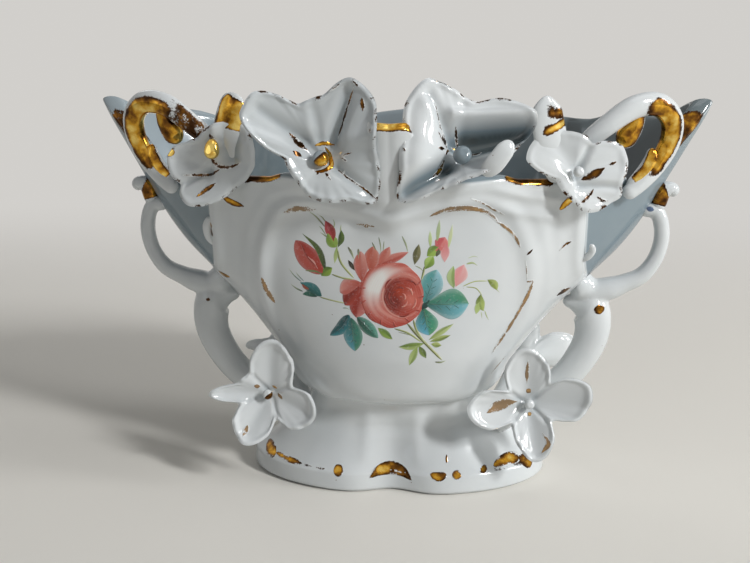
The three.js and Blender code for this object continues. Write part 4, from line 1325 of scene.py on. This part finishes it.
# small bud on the right
leaf(buds, (26.2, 95.4), (29.6, 105), 6.2, "cf8f8d", "dba9a6", "d98a8c", None, 0.55, 0.4)
leaf(buds, (25.6, 94.8), (25.2, 104.6), 3.8, "7c8d58", "8aa45a", "b2c48c", None, 0.5, 0.25, 1.0)
# sprigs with drooping leaves
stem(buds, [(29, 95.6), (34, 97.6), (39.6, 97.6)], 0.5, "8b9648", "98a555")
leaf(buds, (39.2, 98.2), (43.4, 93.2), 3.2, "66732c", "8c9b46", "a7b46a", None, 0.5, 0.25, 0.8)
hair(buds, [(42.6, 94.2), (44.6, 92)], 0.4, "a9b181")
stem(buds, [(30.5, 95.4), (34.6, 94.6), (37.2, 91.4)], 0.5, "848f42", "7c8a3c")
leaf(buds, (36.6, 92), (38, 84.2), 3.8, "55642a", "94a656", "a3b464", None, 0.5, 0.2, -0.8)
leaf(buds, (36.4, 89.4), (34.8, 83), 2.8, "93a856", "a9ba77", wash=0.35)
hair(buds, [(38.4, 84.6), (39.4, 81.6), (40.4, 79.6)], 0.5, "a3ad72")
hair(buds, [(37, 84), (37.4, 80.6)], 0.4, "b2bb8e")
hair(buds, [(30.4, 105.2), (33, 105.6), (35.2, 104.2)], 0.9, "a5b277")
hair(buds, [(31, 107.6), (33.6, 108.4), (35.4, 107.8)], 0.4, "b9c39b")
# thin dark sepals behind the rose
hair(buds, [(-17.9, 112), (-16.4, 109.4), (-15.3, 106.4)], 1.2, "4c4a36")
hair(buds, [(-13.6, 111.4), (-13.4, 108.6), (-13.8, 106)], 1.2, "5c5a45")
leaf(buds, (-17.9, 106.4), (-15.2, 102), 1.8, "2f2a1c", "3d3826", wash=0.1)
hair(buds, [(-7.9, 114.4), (-6.6, 111.6), (-5.2, 108.4)], 0.7, "4c5238")
hair(buds, [(-5.1, 116.8), (-4.4, 113), (-4.3, 109)], 0.6, "5a6350")
hair(buds, [(-2.9, 115), (-3.2, 112), (-3.6, 109)], 0.5, "7c8268")
hair(buds, [(4.3, 117.4), (6, 113.4), (6.8, 109.6)], 0.8, "7a836a")
leaf(buds, (9.4, 105), (11.2, 113.8), 3.2, "5d5a36", "7c7a52", "4a4a28", None, 0.5, 0.15)
hair(buds, [(9.6, 104.6), (12, 103.4), (13.6, 101)], 0.5, "8a8f78")
fired(buds, "painted_buds", ENAMEL, "porcelain")

# Two small hooks of clay at the edges of the panel, where the moulding curls over. They were
# pressed in the same mould as the bowl and pulled out by hand while the clay was soft.
HOOKS = {
    1: [(78.5, 0.8, 103, 1.0), (81.6, 0.2, 104.8, 1.6), (83.4, 0, 107.8, 1.5), (82.6, -0.6, 110.6, 0.9)],
    -1: [(79, 0.8, 107.5, 1.2), (81, 0.2, 111, 1.9), (81.4, 0, 116, 2.1), (79.6, -0.4, 120.4, 1.4)],
}
for word, side in (("left", -1), ("right", 1)):
    hook = [(x, wall_spot(80, z)[1] + y, z, radius) for x, y, z, radius in HOOKS[side]]
    fired(rolled(hook, ACROSS_HANDLE, 0.8, 30, 18, side), word + "_panel_hook", PORCELAIN, "porcelain")

# The gilding on the wall and the foot: lines of burnished gold laid over the glaze with a
# full brush, along the mouldings. Much of it has been rubbed away, so each line is broken.
def gold_leaf(name, faded):
    """Gold laid on the glaze; where it is rubbed away, the white glaze shows."""
    material, tree, skin = new_material(name)
    gold = placed_group(tree, GILDING, Laid=attribute(tree, "paint"), Wear=0.62)
    left = math_node(tree, "MULTIPLY", gold.outputs["Cover"], 1 - 0.12 * faded)
    washed_out = math_node(tree, "MULTIPLY", left, 0.6 * faded)
    metal = blend(tree, washed_out, gold.outputs["Colour"], tone("a37a34"))
    feed(
        tree, skin,
        Base_Color=blend(tree, left, WHITE, metal),
        Metallic=math_node(tree, "MULTIPLY", left, 0.9 - 0.5 * faded),
        Roughness=gold.outputs["Roughness"],
    )
    return material


GOLD_LEAF = gold_leaf("gold_leaf", 0.0)
FADED_GOLD = gold_leaf("faded_gold", 1.0)
GOLD_LIFT = 0.07


def gold_stroke(sheet, surface, path, width, laid=0.8, blunt=0.7):
    """A line of gold; laid says how much of it is left, from 0 to 1."""

    def left(t, s):
        return (*(laid * (1.12 - 0.5 * s**2 - 0.2 * abs(2 * t - 1) ** 3),) * 3, 1)

    stroke(sheet, surface, path, width * 1.15, left, 26, 12, blunt, lift=GOLD_LIFT)


gold = bmesh.new()
for path, width, laid in (
    ([(-44.6, 125.4), (-38.5, 127.2), (-30.4, 127.2)], 2.4, 0.62),
    ([(-14.8, 121.4), (-11, 121.6), (-6.4, 120.9)], 1.0, 0.6),
    ([(-11.4, 121.2), (-9.8, 121.2), (-8.4, 121.2)], 2.0, 0.62),
    ([(15.3, 125.3), (20.5, 127.8), (26.5, 129), (35, 128), (40.2, 125.4), (43.4, 121.4)], 1.9, 0.66),
    ([(20.5, 126.9), (26.5, 128), (33, 127.6)], 0.8, 0.6),
    ([(42.6, 122.6), (46.4, 119.8), (49.6, 116.6), (52.6, 111)], 1.3, 0.62),
    ([(54.6, 106.4), (55.4, 101), (55.8, 96.4)], 0.6, 0.5),
    ([(55.6, 96.2), (58.6, 96.4)], 1.0, 0.66),
    ([(58.4, 96.8), (57, 91.6), (54, 84.4), (50, 76.4)], 1.5, 0.68),
    ([(52.4, 81), (47.6, 72.4), (42, 63.4)], 1.4, 0.64),
    ([(48.4, 60.4), (45, 56), (42, 52.4)], 0.5, 0.6),
    ([(-56.2, 96), (-54.4, 90), (-51.2, 84)], 2.0, 0.66),
    ([(31.4, 133), (36, 131), (41, 127.8), (45.8, 125.4)], 0.9, 0.5),
):
    gold_stroke(gold, wall_spot, path, width, laid)
fired(gold, "gilding_on_the_wall", FADED_GOLD, "gilding")


def front_of(name):
    """Lets a stroke be laid on a finished piece as it is seen from the front."""
    solid = bmesh.new()
    solid.from_mesh(bpy.data.objects[name].data)
    skin = BVHTree.FromBMesh(solid)
    solid.free()

    def surface(a, b, lift=0.0):
        hit = skin.ray_cast(spot(a, -90, b), ACROSS_HANDLE)[0]
        return a, hit.y / MM - MIDDLE - lift, b

    return surface


marks = bmesh.new()
on_left, on_right = front_of("left_handle"), front_of("right_handle")
for surface, path, width, laid, blunt in (
    (on_right, [(89.4, 79.4), (90.2, 75.2)], 4.4, 0.84, 0.4),
    (on_left, [(-88.6, 78.4), (-86.4, 77.8)], 1.6, 0.6, 0.1),
    (wall_spot, [(-79.6, 94.6), (-77, 92.8), (-73.4, 92.4)], 2.0, 0.85, 0.3),
    (wall_spot, [(-79.4, 118), (-79.8, 115), (-78.8, 111.6)], 2.0, 0.85, 0.3),
    (wall_spot, [(74.6, 133), (71.6, 130.2), (68, 126.4)], 2.8, 0.9, 0.4),
    (wall_spot, [(-73.4, 131), (-69, 128), (-62.6, 126.4)], 2.4, 0.8, 0.4),
    (wall_spot, [(69.4, 86.8), (72.6, 88.6), (76, 89.4)], 2.2, 0.72, 0.3),
    (wall_spot, [(55, 108), (57.6, 110.6)], 1.0, 0.62, 0.1),
    (wall_spot, [(68.8, 108.6), (71.6, 111.4), (74.4, 112.6)], 1.2, 0.62, 0.1),
):
    gold_stroke(marks, surface, path, width, laid, blunt)
fired(marks, "gilding_on_the_handles", GOLD_LEAF, "gilding")
# the painter let one drop of cobalt fall on the right handle
cobalt = bmesh.new()
stroke(cobalt, on_right, [(108.4, 122.6), (111.8, 122)], 2.4, washed("2b3f66", "5f7390", wash=0.4), blunt=0.3)
fired(cobalt, "cobalt_spot", ENAMEL, "porcelain")

foot_gold = bmesh.new()
for path, width, laid, blunt in (
    ([(-26.2, 9.5), (-21.8, 9.3)], 4.2, 0.78, 0.5),
    ([(-10.4, 6.2), (-6.6, 8.8), (-1.4, 9.8), (4.4, 8.6), (8.4, 5.6)], 4.6, 0.88, 0.25),
    ([(16.4, 9.4), (20.4, 8.4), (23.6, 9.6)], 3.2, 0.8, 0.4),
    ([(26, 9.6), (30, 8.4)], 3.2, 0.8, 0.4),
    ([(38.4, 10.6), (41.4, 9.8)], 2.6, 0.72, 0.4),
    ([(44, 10.8), (50, 12.2), (56, 11)], 3.4, 0.76, 0.7),
    ([(55.6, 11.6), (59.4, 9.6), (61, 6)], 3.8, 0.86, 0.4),
    ([(23.4, 16.6), (23.5, 13.4)], 0.9, 0.66, 0.3),
    ([(-60.8, 11), (-54.4, 10.4)], 4.2, 0.82, 0.6),
    ([(-55, 10.6), (-47, 10), (-41, 9.8)], 1.8, 0.68, 0.6),
    ([(-40, 9.7), (-36, 9.5)], 0.8, 0.52, 0.6),
    ([(-34.6, 9.5), (-30, 9.4)], 0.8, 0.5, 0.6),
):
    gold_stroke(foot_gold, foot_spot, path, width, laid, blunt)
fired(foot_gold, "gilding_on_the_foot", GOLD_LEAF, "gilding")

# The gilding on the flowers: brown-gold rays from the throats, dots along the curled edges and
# gold on the tips. The gold was thin here and most of it is rubbed down to brown traces.
def petal_surface(flower, face):
    """Lets a stroke be laid on the petals, by its place on the flower's own plane."""
    height = corolla_front(flower)
    to_world = flower_frame(flower, face)

    def surface(a, b, lift=0.0):
        direction = math.atan2(b, a)
        reach = height(direction, 0.0)[1]
        share = min(0.985, math.hypot(a, b) / reach)
        a, b = reach * share * math.cos(direction), reach * share * math.sin(direction)
        return to_world(a, b, height(direction, share)[0] + lift)

    return surface


# per flower: path in its own plane, width, how much gold is left, how blunt the ends are
PETAL_GOLD = {
    "left_rim_flower": [
        ([(13.4, 27.4), (10.4, 20.5), (7.4, 12.5), (5.6, 8)], 1.2, 0.62, 0.3),
        ([(12.6, 28.6), (15.4, 26.2)], 1.0, 0.6, 0.3),
        ([(-13.4, 9.8), (-9.5, 6), (-5.8, 3.2)], 2.0, 0.6, 0.1), ([(-10.8, 2.2), (-7.6, 0.4)], 1.6, 0.6, 0.1),
        ([(-3.4, 5.4), (0, 6.4), (5, 6.2)], 1.6, 0.72, 0.2),
        ([(0.6, 5.2), (2.7, 2), (3.2, -2), (1, -4.2), (-2.6, -5)], 1.7, 0.95, 0.6),
        ([(-0.8, -4.8), (-1.8, -6.2)], 0.9, 0.6, 0.2), ([(1.4, -4.8), (4.2, -8.2)], 1.2, 0.6, 0.1),
        ([(7.2, 1.4), (12.2, 2.6)], 1.0, 0.6, 0.1), ([(7.4, 1.2), (10.2, -0.6)], 1.3, 0.62, 0.1),
        ([(5.4, -3), (9.5, -6), (17.5, -11), (22.6, -15)], 0.9, 0.56, 0.4),
        ([(22.4, -15.8), (24, -17.4)], 2.0, 0.95, 0.2), ([(16.6, 22.4), (17.2, 17.2)], 1.9, 0.6, 0.1),
        ([(19.6, 13.4), (20.6, 8.6)], 2.4, 0.6, 0.1), ([(-23.4, 23.8), (-22.2, 24)], 0.8, 0.56, 0.1),
        ([(-12.8, 24), (-11.8, 21.4)], 1.0, 0.58, 0.1), ([(-3.2, 26.2), (-1.6, 23.8)], 1.9, 0.6, 0.1),
        ([(3, 24.4), (8, 27.6)], 1.0, 0.56, 0.2), ([(-24.6, 4.8), (-23, 1.6)], 1.7, 0.58, 0.1),
        ([(-15.9, -2.4), (-15.1, -3.6)], 1.4, 0.56, 0.1),
    ],
    "right_rim_flower": [
        ([(-13, 29.2), (-8, 28.2), (-2.5, 25)], 1.3, 0.6, 0.3),
        ([(-10, 20.4), (-7.6, 12), (-5, 7.6)], 0.8, 0.5, 0.4),
        ([(-9, 9.6), (-6.4, 7.6), (-4.4, 4.8)], 2.4, 0.58, 0.1), ([(-9, 3.4), (-5.6, 4)], 1.4, 0.56, 0.1),
        ([(-1.6, 12.4), (-0.4, 9), (0.8, 6)], 1.4, 0.64, 0.1),
        ([(4.4, 4.6), (7, 3.2), (9.8, 4.2)], 1.5, 0.6, 0.1),
        ([(-5.7, 1.6), (-4.2, 4.2), (-0.5, 6), (3.4, 4.8), (5.6, 2.2)], 0.9, 0.85, 0.7),
        ([(-6, 0.4), (-7.6, -3), (-10.8, -5.6)], 1.5, 0.72, 0.3),
        ([(-24, 12.6), (-23.2, 10.6)], 1.2, 0.58, 0.1), ([(-23, 5.6), (-22.6, 3.8)], 1.2, 0.56, 0.1),
        ([(-23.4, 2.8), (-22.4, 1.2)], 0.9, 0.56, 0.1), ([(-26.6, -9), (-26.6, -10.8)], 1.6, 0.56, 0.1),
        ([(15, 20.6), (18.6, 20.8), (21, 19.8)], 1.2, 0.5, 0.2),
        ([(28.6, 14.6), (31, 13.8), (34.6, 12)], 2.6, 0.95, 0.4), ([(3.8, 23.8), (6, 21)], 1.1, 0.58, 0.1),
    ],
    "left_shoulder_flower": [
        ([(-20.4, 0.4), (-19.4, -2.8)], 3.6, 1.0, 0.3), ([(-1.6, 7.4), (-0.6, 3.6)], 2.2, 0.6, 0.3),
        ([(-2.6, -1.2), (-0.4, -4.4), (4.5, -6), (11, -3.4)], 1.7, 0.56, 0.3),
        ([(-15, -10.2), (-8.6, -9.8), (-2, -9), (2.4, -6.8)], 1.6, 0.58, 0.4),
        ([(-8.6, -19), (-4.5, -16), (0.6, -12.6)], 2.0, 0.68, 0.2),
        ([(6.2, -16.6), (9.6, -20)], 2.6, 0.62, 0.1), ([(9, -19.2), (12, -20.6)], 1.2, 0.6, 0.1),
    ],
    "right_shoulder_flower": [
        ([(0.4, -13), (4.5, -10), (7.6, -6.4)], 1.6, 0.6, 0.1),
        ([(2.2, -2.8), (7, -1), (12.2, 1.8)], 3.0, 0.74, 0.2), ([(13.4, 2.6), (17, 4)], 1.3, 0.6, 0.1),
        ([(8.6, -9.6), (11, -11), (14, -11.6)], 1.4, 0.6, 0.2),
    ],
    "front_left_foot_flower": [
        ([(-6.6, 3.2), (-4, 3)], 1.8, 0.7, 0.1), ([(3.6, 0.6), (6, -2.2)], 1.6, 0.66, 0.1),
        ([(-9.6, -18.6), (-8.3, -13.8)], 2.4, 0.54, 0.1), ([(1, 3.6), (3.4, 2.4)], 1.0, 0.8, 0.2),
    ],
    "front_right_foot_flower": [
        ([(-0.9, 19.6), (-1, 13.4), (-0.8, 8.4)], 1.5, 0.66, 0.1), ([(-0.9, 6.2), (1, 4.6)], 2.0, 0.8, 0.1),
        ([(0, -4), (1.2, -5.4)], 1.8, 0.7, 0.1),
        ([(-18.4, -3.6), (-12.5, -0.4), (-4.6, 0.8)], 4.2, 0.7, 0.05),
        ([(5.2, -12), (7.5, -16), (4.6, -20.8)], 1.6, 0.7, 0.1),
    ],
}
for name, flower, face in FLOWERS:
    petal_gold = bmesh.new()
    for path, width, laid, blunt in PETAL_GOLD[name.replace("back", "front")]:
        gold_stroke(petal_gold, petal_surface(flower, face), path, width, laid, blunt)
    fired(petal_gold, name + "_gilding", FADED_GOLD if "foot" in name else GOLD_LEAF, "gilding")
